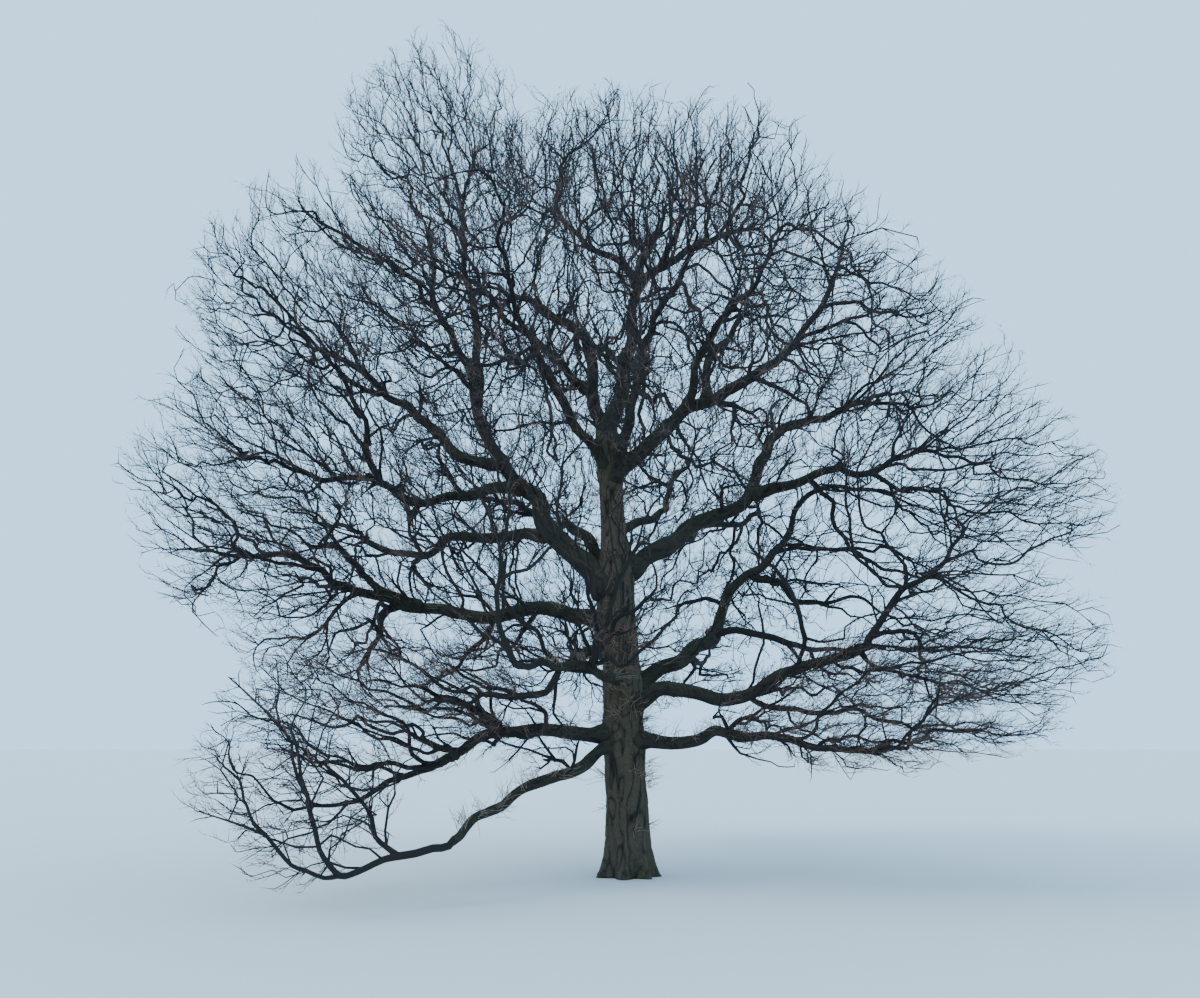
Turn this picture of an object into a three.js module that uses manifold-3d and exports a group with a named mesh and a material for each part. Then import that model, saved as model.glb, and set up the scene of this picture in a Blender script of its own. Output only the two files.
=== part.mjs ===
import * as THREE from "three";
import { mergeVertices } from "three/addons/utils/BufferGeometryUtils.js";
import Module from "manifold-3d";

// A mature bare oak: one trunk with a root flare, its main boughs, and a mass of bare twigs on each bough.
// Lengths are millimetres and angles are degrees. +Z is up, and the origin is the middle of the flat cut
// under the trunk. +X is to the right and +Y is away from someone who looks at the tree's front.
// A heading is an angle in plan: 0 is right, 90 is back, 180 is left and -90 is front.

const wasm = await Module();
wasm.setup();

const GAP = 0.3;
const CUT_MARGIN = 0.55;
const CUT_SIMPLIFY = 0.02;
const MERGE_DISTANCE = 1e-3;
const NOTHING = 1e-6;

// The trunk leans to the left more and more towards its fork.
const TRUNK_HEIGHT = 10500;
const TRUNK_LEAN = -460;
const TRUNK_LEAN_POWER = 1.5;
const TRUNK_SIDES = 18;
const TRUNK_RING_HEIGHTS = [
  0, 90, 220, 420, 700, 1100, 1600, 2200, 2900, 3600,
  4300, 5000, 5700, 6400, 7100, 7900, 8700, 9600, TRUNK_HEIGHT,
];
// Heights with the trunk's thickness there, root flare left out.
const TRUNK_GIRTHS = [
  [0, 980],
  [1500, 945],
  [3200, 940],
  [5200, 870],
  [6400, 800],
  [7400, 690],
  [8600, 600],
  [9600, 560],
  [TRUNK_HEIGHT, 560],
];
// Root buttresses stand out round the foot and die away upwards.
const BUTTRESSES = 7;
const BUTTRESS_REACH = 300;
const BUTTRESS_FADE = 480;
const BUTTRESS_EVENNESS = 0.55;
const BUTTRESS_TURN = 25;
const BUTTRESS_TURN_WAVES = 2;

// A bough's rise and heading are read at even steps along its middle line, and it turns evenly between
// them. at is where it starts: a height on the trunk, or a share of the way along the bough it comes from.
// girth is its thickness at the root and at the far end. It enters its mass of twigs at a share of its
// length, and the rest of the line is the stem of the mass. onward is the rise and heading in which the
// mass goes on, and spread is how far the mass reaches from its middle.
const BOUGHS = [
  {
    name: "low_left_front", from: "trunk", at: 2820, length: 8600, girth: [290, 80],
    rise: [-10, -15, -30, -15, -25, -5, -15], heading: [-145, -120], onward: [35, -150], spread: 3600,
  },
  {
    name: "low_left", from: "trunk", at: 3190, length: 7100, girth: [360, 90],
    rise: [5, 0, -5, -30, -30, -15], heading: [-170, -160], onward: [5, 175], spread: 3900,
  },
  {
    name: "left_low", from: "trunk", at: 5430, length: 9900, girth: [410, 90],
    rise: [30, -5, 10, 25, -10], heading: [180, 190], onward: [-10, 180], spread: 4000,
  },
  {
    name: "left_great", from: "trunk", at: 6190, length: 11100, girth: [620, 100], taper: 1.5,
    rise: [40, 50, 65, 40, 80, 70, 55, 90, 65], heading: [170, 190], onward: [50, 190], spread: 4200,
  },
  {
    name: "left_low_rise", from: "left_low", at: 0.5, length: 3100, girth: [220, 90], enters: 0.5,
    rise: [15, 40, 35, 70], heading: [-150, -140], onward: [10, -150], spread: 3600,
  },
  {
    name: "left_peak", from: "left_great", at: 0.55, length: 6300, girth: [260, 90],
    rise: [90, 85, 65, 90, 70], heading: [140, 150], onward: [75, 170], spread: 4200,
  },
  {
    name: "left_high", from: "left_great", at: 0.42, length: 7400, girth: [300, 90],
    rise: [-25, 50, 35, 30, 45], heading: [165, 175], onward: [30, 170], spread: 4300,
  },
  {
    name: "left_level", from: "left_great", at: 0.33, length: 6100, girth: [300, 90],
    rise: [5, -20, -10, 15, 0, 20], heading: [-155, -165], onward: [10, -165], spread: 4200,
  },
  {
    name: "left_mid", from: "left_great", at: 0.21, length: 9100, girth: [290, 80],
    rise: [5, 5, -20, 25, 15, 35], heading: [145, 155], onward: [0, 150], spread: 4200,
  },
  {
    name: "front_low", from: "trunk", at: 4400, length: 5200, girth: [260, 80],
    rise: [10, 5, -5, 5], heading: [-115, -130], onward: [0, -140], spread: 3100,
  },
  {
    name: "inner_left", from: "trunk", at: 9300, length: 6400, girth: [280, 80],
    rise: [55, 20, 30, 40, 45], heading: [-130, -105], onward: [20, -110], spread: 4300,
  },
  {
    name: "front_high", from: "trunk", at: 9000, length: 7000, girth: [300, 80],
    rise: [50, 30, 35, 45], heading: [-80, -70], onward: [15, -75], spread: 4300,
  },
  {
    name: "leader", from: "trunk", at: 9900, length: 8400, girth: [420, 90],
    rise: [85, 80, 75, 90, 25, 30, 15], heading: [20, 0], onward: [40, -10], spread: 4200,
  },
  {
    name: "leader_left", from: "trunk", at: 9900, length: 9300, girth: [360, 90],
    rise: [60, 80, 35, 35, 55], heading: [120, 145], onward: [40, 120], spread: 4300,
  },
  {
    name: "upper_left", from: "leader_left", at: 0.21, length: 4000, girth: [240, 90], enters: 0.55,
    rise: [25, 25, 40, 30], heading: [-165, -130], onward: [35, -150], spread: 4000,
  },
  {
    name: "top_left", from: "leader", at: 0.54, length: 3100, girth: [220, 90], enters: 0.5,
    rise: [60, 20, 20, 20], heading: [-150, -135], onward: [50, -130], spread: 3900,
  },
  {
    name: "top_mid", from: "leader", at: 0.54, length: 4300, girth: [240, 90], enters: 0.5,
    rise: [85, 35, 80], heading: [60, 50], onward: [40, 80], spread: 4000,
  },
  {
    name: "right_high", from: "trunk", at: 9410, length: 8500, girth: [400, 90],
    rise: [45, 45, 15, 45, 30, 70, 60], heading: [-15, 5], onward: [30, 0], spread: 4200,
  },
  {
    name: "right_high_front", from: "right_high", at: 0.29, length: 5000, girth: [220, 80], enters: 0.6,
    rise: [30, 35, 30, 30], heading: [-75, -60], onward: [10, -50], spread: 4300,
  },
  {
    name: "right_high_back", from: "right_high", at: 0.35, length: 6000, girth: [230, 80],
    rise: [80, 45, 50, 60], heading: [65, 55], onward: [15, 50], spread: 4300,
  },
  {
    name: "right_inner", from: "trunk", at: 7850, length: 6400, girth: [240, 80],
    rise: [20, 25, 45, 45], heading: [65, 70], onward: [10, 90], spread: 4500,
  },
  {
    name: "right_mid", from: "trunk", at: 6870, length: 11500, girth: [450, 90],
    rise: [40, 30, 15, 75, 35, 25, 20, 30], heading: [20, 30], onward: [0, 10], spread: 4200,
  },
  {
    name: "right_level", from: "right_mid", at: 0.38, length: 4300, girth: [300, 90], enters: 0.55,
    rise: [30, 5, -15, 40], heading: [-30, -20], onward: [5, -25], spread: 4300,
  },
  {
    name: "right_arch", from: "trunk", at: 3900, length: 9800, girth: [410, 90],
    rise: [25, 30, 25, 60, 35, 45, 55, 0], heading: [35, 25], onward: [-10, 50], spread: 4200,
  },
  {
    name: "right_low", from: "trunk", at: 3600, length: 9100, girth: [370, 90],
    rise: [50, 0, -5, 25, 10, 50, 25, 55], heading: [-30, -20], onward: [0, 0], spread: 4300,
  },
  {
    name: "right_drop", from: "trunk", at: 2940, length: 6400, girth: [330, 80],
    rise: [10, 10, -5, -5, -15], heading: [-40, -30], onward: [0, -10], spread: 3900,
  },
  {
    name: "back_low", from: "trunk", at: 4600, length: 6800, girth: [340, 90],
    rise: [20, 10, 0, 10], heading: [110, 95], onward: [0, 95], spread: 4500,
  },
  {
    name: "back_left", from: "trunk", at: 7000, length: 7400, girth: [320, 90],
    rise: [45, 25, 20, 35], heading: [125, 130], onward: [10, 125], spread: 4500,
  },
  {
    name: "back_right", from: "trunk", at: 6400, length: 7600, girth: [340, 90],
    rise: [45, 25, 15, 30], heading: [45, 60], onward: [0, 55], spread: 4500,
  },
];
const BOUGH_TAPER = 0.9;
const BOUGH_ENTERS = 0.66;
const BOUGH_SIDES = 6;
const BOUGH_RING_STEP = 640;
const BOUGH_LEAST_RINGS = 3;
const PATH_STEPS = 24;
// A bough swells at its root by a share that fades along it, and stays thinner there than what it grows from.
const BOUGH_COLLAR = 0.35;
const BOUGH_COLLAR_FADE = 350;
const BOUGH_ROOT_SHARE = 0.92;
// Boughs also wander from side to side in plan, each from its own place in the wave.
const WANDER_ANGLE = 16;
const WANDER_WAVE = 4200;
const WANDER_SHIFT = 0.37;
// They are gnarled as well: both angles swing to and fro in a shorter wave, which runs unevenly.
const GNARL_ANGLE = 12;
const GNARL_WAVE = 1900;
const GNARL_SHIFT = 0.61;
const GNARL_UNEVENNESS = 1.4;

// The crown's outline: rounded lobes, each with its middle and its half width, half depth and half height.
const CROWN_LOBES = [
  { middle: [-400, 200, 10700], half: [8600, 9700, 7200] },
  { middle: [-7800, -400, 8800], half: [4100, 5400, 4100] },
  { middle: [-7200, 400, 13600], half: [4200, 5200, 3500] },
  { middle: [-5200, 800, 18200], half: [2900, 3600, 4000] },
  { middle: [700, 400, 15600], half: [5600, 5400, 3900] },
  { middle: [6000, 800, 12000], half: [3900, 5200, 3500] },
  { middle: [8700, 0, 7900], half: [3000, 4400, 4200] },
  { middle: [6600, -1600, 4900], half: [4100, 4600, 2600] },
  { middle: [-6200, -4200, 2600], half: [2500, 3400, 2400] },
  { middle: [-500, -6400, 10800], half: [5600, 4000, 3600] },
  { middle: [0, 6800, 8200], half: [6800, 4600, 5000] },
  { middle: [-5200, -600, 5000], half: [3900, 3600, 2300] },
  { middle: [-2900, -1800, 3300], half: [2900, 2400, 1300] },
  { middle: [5000, -2200, 3500], half: [3600, 2800, 1500] },
];
const MASS_AHEAD = 1000;
const GROUND_CLEARANCE = 150;
const MASS_CLEARANCE = 60;
const LIMB_CLEARANCE = 70;

// Twigs grow step by step towards seeded points in their space, and a point is reached within REACHED.
// All but one in every INNER_TIPS_EVERY of the points are moved out to the edge of the space.
const TWIG_TIPS = 17;
const TIP_TRIES = 60;
const INNER_TIPS_EVERY = 3;
const EDGE_STEP = 150;
const TWIG_STEP = 850;
const STEP_CHECKS = 4;
const STEM_FOOT = 150;
const FIRST_GROWING = 1;
const REACHED = 1100;
const CROWDED_SHARE = 0.35;
// A joint sees the points that lie within this angle of the way it grew, and keeps to that way by a share.
const SIGHT_ANGLE = 72;
const PERSISTENCE = 0.45;
// What a joint lies to the side of the way out of the crown counts more, by this much of its square.
const GROWTH_HEART = new THREE.Vector3(-300, 0, 3500);
const SIDEWAYS_COUNTS = 3;
const TWIG_SIDES = 3;
const TWIG_TIP_RADIUS = 15;
const TWIG_TAPER_PER_STEP = 1;
const PIPE_POWER = 2.3;
const STEM_SHARE = 0.85;
const TWIG_SIMPLIFY = 1.5;

// The next number of a seeded run is a multiple of the last one plus a step, cut off at 32 bits.
const RANDOM_SPREAD = 2654435761;
const RANDOM_START = 12345;
const RANDOM_MULTIPLE = 1664525;
const RANDOM_STEP = 1013904223;
const RANDOM_RANGE = 2 ** 32;

const degrees = THREE.MathUtils.degToRad;

const bark = new THREE.MeshStandardMaterial({ name: "bark", color: 0x39322a, roughness: 0.95, metalness: 0 });
const twigBark = new THREE.MeshStandardMaterial({
  name: "twig_bark",
  color: 0x4b4038,
  roughness: 0.9,
  metalness: 0,
});

// A generator of numbers from 0 to 1 that gives the same run for the same seed.
function seededRandom(seed) {
  let state = (Math.imul(seed, RANDOM_SPREAD) + RANDOM_START) >>> 0;
  return () => {
    state = (Math.imul(state, RANDOM_MULTIPLE) + RANDOM_STEP) >>> 0;
    return state / RANDOM_RANGE;
  };
}

// The value at a share of the way along evenly spaced values.
function ramp(values, share) {
  const place = share * (values.length - 1);
  const index = Math.min(Math.floor(place), values.length - 2);
  return values[index] + (values[index + 1] - values[index]) * (place - index);
}

function direction(rise, heading) {
  const level = Math.cos(degrees(rise));
  return new THREE.Vector3(
    level * Math.cos(degrees(heading)),
    level * Math.sin(degrees(heading)),
    Math.sin(degrees(rise)),
  );
}

function trunkAxis(height) {
  const lean = TRUNK_LEAN * Math.pow(height / TRUNK_HEIGHT, TRUNK_LEAN_POWER);
  return new THREE.Vector3(lean, 0, height);
}

function trunkRadius(height) {
  const upper = Math.max(1, TRUNK_GIRTHS.findIndex(([level]) => level >= height));
  const [lowLevel, lowGirth] = TRUNK_GIRTHS[upper - 1];
  const [highLevel, highGirth] = TRUNK_GIRTHS[upper];
  const share = (height - lowLevel) / (highLevel - lowLevel);
  return (lowGirth + (highGirth - lowGirth) * share) / 2;
}

// How far the root buttresses stand out of the trunk at a height and an angle round it.
function buttress(height, angle) {
  const turn = degrees(BUTTRESS_TURN) * Math.cos(BUTTRESS_TURN_WAVES * angle);
  const wave = Math.cos(BUTTRESSES * angle + turn);
  const share = BUTTRESS_EVENNESS + (1 - BUTTRESS_EVENNESS) * wave;
  return BUTTRESS_REACH * share * Math.exp(-height / BUTTRESS_FADE);
}

// The limb's middle line, from its root inside its parent to its tip.
function middleLine(start, bough) {
  const points = [start.clone()];
  const step = bough.length / PATH_STEPS;
  for (let index = 0; index < PATH_STEPS; index += 1) {
    const share = (index + 0.5) / PATH_STEPS;
    const distance = share * bough.length;
    const wave = 2 * Math.PI * (distance / WANDER_WAVE + WANDER_SHIFT * bough.order);
    const evenKnee = 2 * Math.PI * (distance / GNARL_WAVE + GNARL_SHIFT * bough.order);
    const knee = evenKnee + GNARL_UNEVENNESS * Math.sin(wave);
    const rise = ramp(bough.rise, share) + GNARL_ANGLE * Math.sin(knee);
    const wander = WANDER_ANGLE * Math.sin(wave) + GNARL_ANGLE * Math.cos(knee);
    const towards = direction(rise, ramp(bough.heading, share) + wander);
    points.push(points[index].clone().addScaledVector(towards, step));
  }
  return points;
}

// The place at a share of the way along evenly spaced points.
function along(points, share) {
  const place = share * (points.length - 1);
  const index = Math.min(Math.floor(place), points.length - 2);
  return points[index].clone().lerp(points[index + 1], place - index);
}

function boughRadius(bough, share) {
  const [root, tip] = bough.girth;
  const thin = tip + (root - tip) * Math.pow(1 - share, bough.taper);
  const collar = 1 + BOUGH_COLLAR * Math.exp((-share * bough.length) / BOUGH_COLLAR_FADE);
  return Math.min((thin * collar) / 2, bough.mostRadius);
}

// A straight round bar, bent along a line of points with its own radius at each. A pointed bar ends in
// a point. Its sides carry on from point to point without a twist, and roll turns them all about its line.
function bentBar(points, radii, sides, pointed, roll) {
  const bar = new THREE.CylinderGeometry(pointed ? 0 : 1, 1, 1, sides, points.length - 1);
  const last = points.length - 1;
  const frames = [];
  let side = null;
  points.forEach((point, index) => {
    const before = points[Math.max(index - 1, 0)];
    const after = points[Math.min(index + 1, last)];
    const forward = after.clone().sub(before).normalize();
    if (side === null) {
      const level = Math.abs(forward.z) < Math.SQRT1_2;
      side = new THREE.Vector3(level ? 0 : 1, 0, level ? 1 : 0).applyAxisAngle(forward, roll);
    }
    side = side.clone().addScaledVector(forward, -side.dot(forward)).normalize();
    frames.push({ side, other: side.clone().cross(forward) });
  });
  const places = bar.getAttribute("position");
  for (let index = 0; index < places.count; index += 1) {
    const x = places.getX(index);
    const z = places.getZ(index);
    const ring = Math.round((places.getY(index) + 0.5) * last);
    const length = Math.hypot(x, z);
    const scale = length > NOTHING ? radii[ring] / length : 0;
    const place = points[ring].clone();
    place.addScaledVector(frames[ring].side, x * scale);
    place.addScaledVector(frames[ring].other, z * scale);
    places.setXYZ(index, place.x, place.y, place.z);
  }
  return bar;
}

// A closed surface as a solid that can be joined and cut.
function solidOf(geometry) {
  const bare = geometry.clone();
  bare.deleteAttribute("normal");
  bare.deleteAttribute("uv");
  const merged = mergeVertices(bare, MERGE_DISTANCE);
  const mesh = new wasm.Mesh({
    numProp: 3,
    vertProperties: Float32Array.from(merged.getAttribute("position").array),
    triVerts: Uint32Array.from(merged.index.array),
  });
  return new wasm.Manifold(mesh);
}

function largestPiece(solid) {
  const pieces = solid.decompose();
  return pieces.reduce((best, piece) => (piece.volume() > best.volume() ? piece : best));
}

// The trunk, made thicker all round by a margin, so that what is cut by it stays clear of it.
function trunkSolid(margin) {
  const rings = TRUNK_RING_HEIGHTS.length - 1;
  const bar = new THREE.CylinderGeometry(1, 1, 1, TRUNK_SIDES, rings);
  const places = bar.getAttribute("position");
  for (let index = 0; index < places.count; index += 1) {
    const x = places.getX(index);
    const z = places.getZ(index);
    const ring = Math.round((places.getY(index) + 0.5) * rings);
    const height = TRUNK_RING_HEIGHTS[ring];
    const angle = Math.atan2(-z, x);
    const middle = trunkAxis(height);
    const onAxis = Math.hypot(x, z) < NOTHING;
    const radius = onAxis ? 0 : trunkRadius(height) + buttress(height, angle) + margin;
    const end = ring === 0 ? -margin : ring === rings ? margin : 0;
    places.setXYZ(index, middle.x + radius * Math.cos(angle), radius * Math.sin(angle), height + end);
  }
  return solidOf(bar);
}

// The bough from its root to where it enters its mass, made thicker and longer by a margin.
function boughSolid(bough, margin) {
  const points = bough.rings.map((share) => along(bough.line, share));
  const radii = bough.rings.map((share) => boughRadius(bough, share) + margin);
  const inward = points[0].clone().sub(points[1]).normalize();
  points[0].addScaledVector(inward, margin);
  points[points.length - 1].addScaledVector(bough.outward, margin);
  return solidOf(bentBar(points, radii, BOUGH_SIDES, false, 0));
}

// Lays out every bough: its middle line from its root inside what it grows from, the shares at which its
// solid has rings, the way in which its cut end faces, and the middle of its mass of twigs.
function layOutBoughs() {
  const boughs = [];
  BOUGHS.forEach((row, order) => {
    const bough = { taper: BOUGH_TAPER, enters: BOUGH_ENTERS, ...row, order };
    const parent = boughs.find(({ name }) => name === bough.from);
    const start = parent ? along(parent.line, bough.at) : trunkAxis(bough.at);
    const holds = parent ? boughRadius(parent, bough.at) : trunkRadius(bough.at);
    const evenSteps = Math.round((bough.length * bough.enters) / BOUGH_RING_STEP);
    const steps = Math.max(BOUGH_LEAST_RINGS, evenSteps);
    bough.mostRadius = BOUGH_ROOT_SHARE * holds;
    bough.line = middleLine(start, bough);
    bough.rings = Array.from({ length: steps + 1 }, (_, index) => (bough.enters * index) / steps);
    bough.end = along(bough.line, bough.enters);
    bough.outward = bough.end.clone().sub(along(bough.line, bough.rings[steps - 1])).normalize();
    bough.middle = bough.line[PATH_STEPS].clone().addScaledVector(direction(...bough.onward), MASS_AHEAD);
    boughs.push(bough);
  });
  return boughs;
}

// Each bough starts inside its parent, which cuts it off at the bark. It also gives way to earlier boughs.
function fitBoughs() {
  const cutters = [trunkSolid(CUT_MARGIN)];
  return boughs.map((bough) => {
    let solid = boughSolid(bough, 0);
    cutters.forEach((cutter) => {
      solid = solid.subtract(cutter);
    });
    cutters.push(boughSolid(bough, CUT_MARGIN));
    return largestPiece(solid).simplify(CUT_SIMPLIFY);
  });
}

function inCrown(point) {
  return CROWN_LOBES.some(({ middle, half }) => {
    const x = (point.x - middle[0]) / half[0];
    const y = (point.y - middle[1]) / half[1];
    const z = (point.z - middle[2]) / half[2];
    return x * x + y * y + z * z < 1;
  });
}

// A mass keeps to the crown, to its own ball, and to its own side of the plane between it and each other.
function inSpace(bough, point) {
  if (point.z < GROUND_CLEARANCE || !inCrown(point)) {
    return false;
  }
  const own = point.distanceToSquared(bough.middle) - bough.spread ** 2;
  if (own > 0) {
    return false;
  }
  return boughs.every((other) => {
    if (other === bough) {
      return true;
    }
    const theirs = point.distanceToSquared(other.middle) - other.spread ** 2;
    return theirs - own > 2 * MASS_CLEARANCE * bough.middle.distanceTo(other.middle);
  });
}

// How far a point is from a limb's bark, taken from the limb's middle line as far as a share of it.
function barkDistance(point, line, radiusAt, until) {
  let nearest = Infinity;
  const towards = new THREE.Vector3();
  const span = new THREE.Vector3();
  for (let index = 0; index < Math.ceil(until * (line.length - 1)); index += 1) {
    span.subVectors(line[index + 1], line[index]);
    towards.subVectors(point, line[index]);
    const share = THREE.MathUtils.clamp(towards.dot(span) / span.lengthSq(), 0, 1);
    const distance = towards.addScaledVector(span, -share).length();
    nearest = Math.min(nearest, distance - radiusAt((index + share) / (line.length - 1)));
  }
  return nearest;
}

// A mass keeps clear of the whole line of every other limb, and of its own bough as far as it is solid.
function touchesLimb(bough, from, to, limbs) {
  for (let index = 1; index <= STEP_CHECKS; index += 1) {
    const point = from.clone().lerp(to, index / STEP_CHECKS);
    const touches = limbs.some(({ name, line, radiusAt, enters }) => {
      const until = name === bough.name ? enters : 1;
      return barkDistance(point, line, radiusAt, until) < LIMB_CLEARANCE;
    });
    if (touches) {
      return true;
    }
  }
  return false;
}

// Seeded points that the twigs of a mass grow towards. Most of them are moved straight out from the bough's
// end to the edge of the space, so that the twigs reach the crown's outline.
function seedTips(bough, random) {
  const tips = [];
  for (let attempt = 0; attempt < TWIG_TIPS * TIP_TRIES && tips.length < TWIG_TIPS; attempt += 1) {
    const rise = THREE.MathUtils.radToDeg(Math.asin(2 * random() - 1));
    const heading = 360 * random();
    const distance = bough.spread * Math.cbrt(random());
    const tip = bough.middle.clone().addScaledVector(direction(rise, heading), distance);
    if (inSpace(bough, tip)) {
      const outward = tip.clone().sub(bough.end).setLength(EDGE_STEP);
      while (tips.length % INNER_TIPS_EVERY > 0 && inSpace(bough, tip.clone().add(outward))) {
        tip.add(outward);
      }
      tips.push(tip);
    }
  }
  return tips;
}

// A joint that grows on from another: its place, the other's number and the way in which it grew.
function jointFrom(joints, parent, place) {
  return { place, parent, heading: place.clone().sub(joints[parent].place).normalize() };
}

// The stem of a mass: it starts clear of the bough's end, square to it, and follows the rest of the line
// until another limb is in its way.
function stemJoints(bough, limbs) {
  const foot = bough.end.clone().addScaledVector(bough.outward, GAP);
  const joints = [{ place: foot, parent: -1, heading: bough.outward }];
  joints.push(jointFrom(joints, 0, bough.end.clone().addScaledVector(bough.outward, STEM_FOOT)));
  const steps = Math.max(1, Math.round((bough.length * (1 - bough.enters)) / TWIG_STEP));
  for (let index = 1; index <= steps; index += 1) {
    const next = along(bough.line, bough.enters + ((1 - bough.enters) * index) / steps);
    if (touchesLimb(bough, joints[index].place, next, limbs)) {
      break;
    }
    joints.push(jointFrom(joints, index, next));
  }
  return joints;
}

// How far a joint counts as being from a point. Twigs run outwards, because a joint to the side counts as
// further away than one that the point lies straight out from.
function countedDistance(offset, tip) {
  const outwards = offset.dot(tip.clone().sub(GROWTH_HEART).normalize());
  return Math.sqrt(offset.lengthSq() + SIDEWAYS_COUNTS * (offset.lengthSq() - outwards ** 2));
}

// The number of the joint that counts as nearest and has a point in its sight. Nothing grows from the
// stem's foot.
function nearestJoint(joints, tip) {
  let nearest = -1;
  let least = Infinity;
  for (let index = FIRST_GROWING; index < joints.length; index += 1) {
    const offset = tip.clone().sub(joints[index].place);
    const ahead = joints[index].heading.dot(offset) > Math.cos(degrees(SIGHT_ANGLE)) * offset.length();
    const counted = countedDistance(offset, tip);
    if (ahead && counted < least) {
      nearest = index;
      least = counted;
    }
  }
  return nearest;
}

// The twigs of a mass as joints with their parents. Each round every joint that is nearest to some seeded
// point grows one step towards the points that it is nearest to, or else towards the nearest of them alone.
function growTwigs(bough, limbs) {
  const joints = stemJoints(bough, limbs);
  let tips = seedTips(bough, seededRandom(bough.order + 1));
  while (tips.length > 0) {
    const pulls = new Map();
    tips.forEach((tip) => {
      const nearest = nearestJoint(joints, tip);
      pulls.set(nearest, [...(pulls.get(nearest) ?? []), tip]);
    });
    const done = new Set(pulls.get(-1));
    pulls.delete(-1);
    pulls.forEach((pulling, index) => {
      const { place, heading } = joints[index];
      pulling.sort((one, two) => one.distanceTo(place) - two.distanceTo(place));
      const nearest = pulling[0];
      const distance = nearest.distanceTo(place);
      const pull = new THREE.Vector3();
      pulling.forEach((tip) => pull.add(tip.clone().sub(place).normalize()));
      pull.normalize().addScaledVector(heading, PERSISTENCE).normalize();
      const choices = [
        place.clone().addScaledVector(pull, TWIG_STEP),
        nearest.clone().lerp(place, Math.max(0, 1 - TWIG_STEP / distance)),
      ];
      const reached = distance < REACHED;
      const free = (choice) => isFree(bough, joints, index, choice, limbs);
      const next = choices.slice(reached ? 1 : 0).find(free);
      if (next === undefined || reached) {
        done.add(nearest);
      }
      if (next !== undefined) {
        joints.push(jointFrom(joints, index, next));
      }
    });
    tips = tips.filter((tip) => !done.has(tip));
  }
  return joints;
}

// A twig may take a step where it stays in its space, off every limb and apart from its own sisters.
function isFree(bough, joints, index, next, limbs) {
  const near = TWIG_STEP * CROWDED_SHARE;
  const crowded =
    joints[index].place.distanceTo(next) < near ||
    joints.some(({ place, parent }) => parent === index && place.distanceTo(next) < near);
  return !crowded && inSpace(bough, next) && !touchesLimb(bough, joints[index].place, next, limbs);
}

// Thickness by the pipe rule: a twig is as thick as the twigs that it carries, taken together.
function thickenTwigs(joints, stemRadius) {
  joints.forEach((joint) => {
    joint.carried = 0;
    joint.children = [];
  });
  for (let index = joints.length - 1; index >= 0; index -= 1) {
    const joint = joints[index];
    const carried = joint.children.length > 0 ? Math.pow(joint.carried, 1 / PIPE_POWER) : TWIG_TIP_RADIUS;
    joint.radius = carried + TWIG_TAPER_PER_STEP;
    if (joint.parent >= 0) {
      joints[joint.parent].carried += Math.pow(joint.radius, PIPE_POWER);
      joints[joint.parent].children.push(index);
    }
  }
  const excess = (stemRadius - TWIG_TIP_RADIUS) / (joints[0].radius - TWIG_TIP_RADIUS);
  joints.forEach((joint) => {
    joint.radius = TWIG_TIP_RADIUS + (joint.radius - TWIG_TIP_RADIUS) * Math.min(1, excess);
  });
}

// Runs of joints from a fork to a tip. A run goes on along its thickest twig, and the others start runs.
function twigRuns(joints) {
  const runs = [];
  const starts = [[-1, 0]];
  while (starts.length > 0) {
    const [fork, first] = starts.pop();
    const run = fork >= 0 ? [fork] : [];
    let index = first;
    while (index !== undefined) {
      run.push(index);
      const thicker = (one, two) => joints[two].radius - joints[one].radius;
      const children = [...joints[index].children].sort(thicker);
      children.slice(1).forEach((child) => starts.push([index, child]));
      index = children[0];
    }
    runs.push(run);
  }
  return runs;
}

function massSolid(bough, limbs) {
  const joints = growTwigs(bough, limbs);
  thickenTwigs(joints, STEM_SHARE * boughRadius(bough, bough.enters));
  const bars = twigRuns(joints).map((run, order) => {
    const points = run.map((index) => joints[index].place);
    const radii = run.map((index) => joints[index].radius);
    radii[0] = order === 0 ? radii[0] : radii[1];
    return solidOf(bentBar(points, radii, TWIG_SIDES, true, order));
  });
  return largestPiece(wasm.Manifold.union(bars)).simplify(TWIG_SIMPLIFY);
}

// A solid as a named mesh that stands at its own place in the tree.
function meshOf(name, solid, place, material) {
  const { vertProperties, triVerts } = solid.translate([-place.x, -place.y, -place.z]).getMesh();
  const geometry = new THREE.BufferGeometry();
  geometry.setAttribute("position", new THREE.BufferAttribute(Float32Array.from(vertProperties), 3));
  geometry.setIndex([...triVerts]);
  geometry.computeVertexNormals();
  const mesh = new THREE.Mesh(geometry, material);
  mesh.name = name;
  mesh.position.copy(place);
  return mesh;
}

const boughs = layOutBoughs();
const limbs = boughs.map((bough) => ({
  name: bough.name,
  line: bough.line,
  enters: bough.enters,
  radiusAt: (share) => boughRadius(bough, share),
}));
limbs.push({
  name: "trunk",
  line: TRUNK_RING_HEIGHTS.map((height) => trunkAxis(height)),
  radiusAt: () => trunkRadius(0),
});

const group = new THREE.Group();
group.name = "oak";
group.add(meshOf("trunk", trunkSolid(0), new THREE.Vector3(), bark));
fitBoughs().forEach((solid, order) => {
  const { name, line } = boughs[order];
  group.add(meshOf(`bough_${name}`, solid, line[0].clone().round(), bark));
});
boughs.forEach((bough) => {
  group.add(meshOf(`twigs_${bough.name}`, massSolid(bough, limbs), bough.end.clone().round(), twigBark));
});

export default group;
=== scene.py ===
import math
from collections import defaultdict

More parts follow.
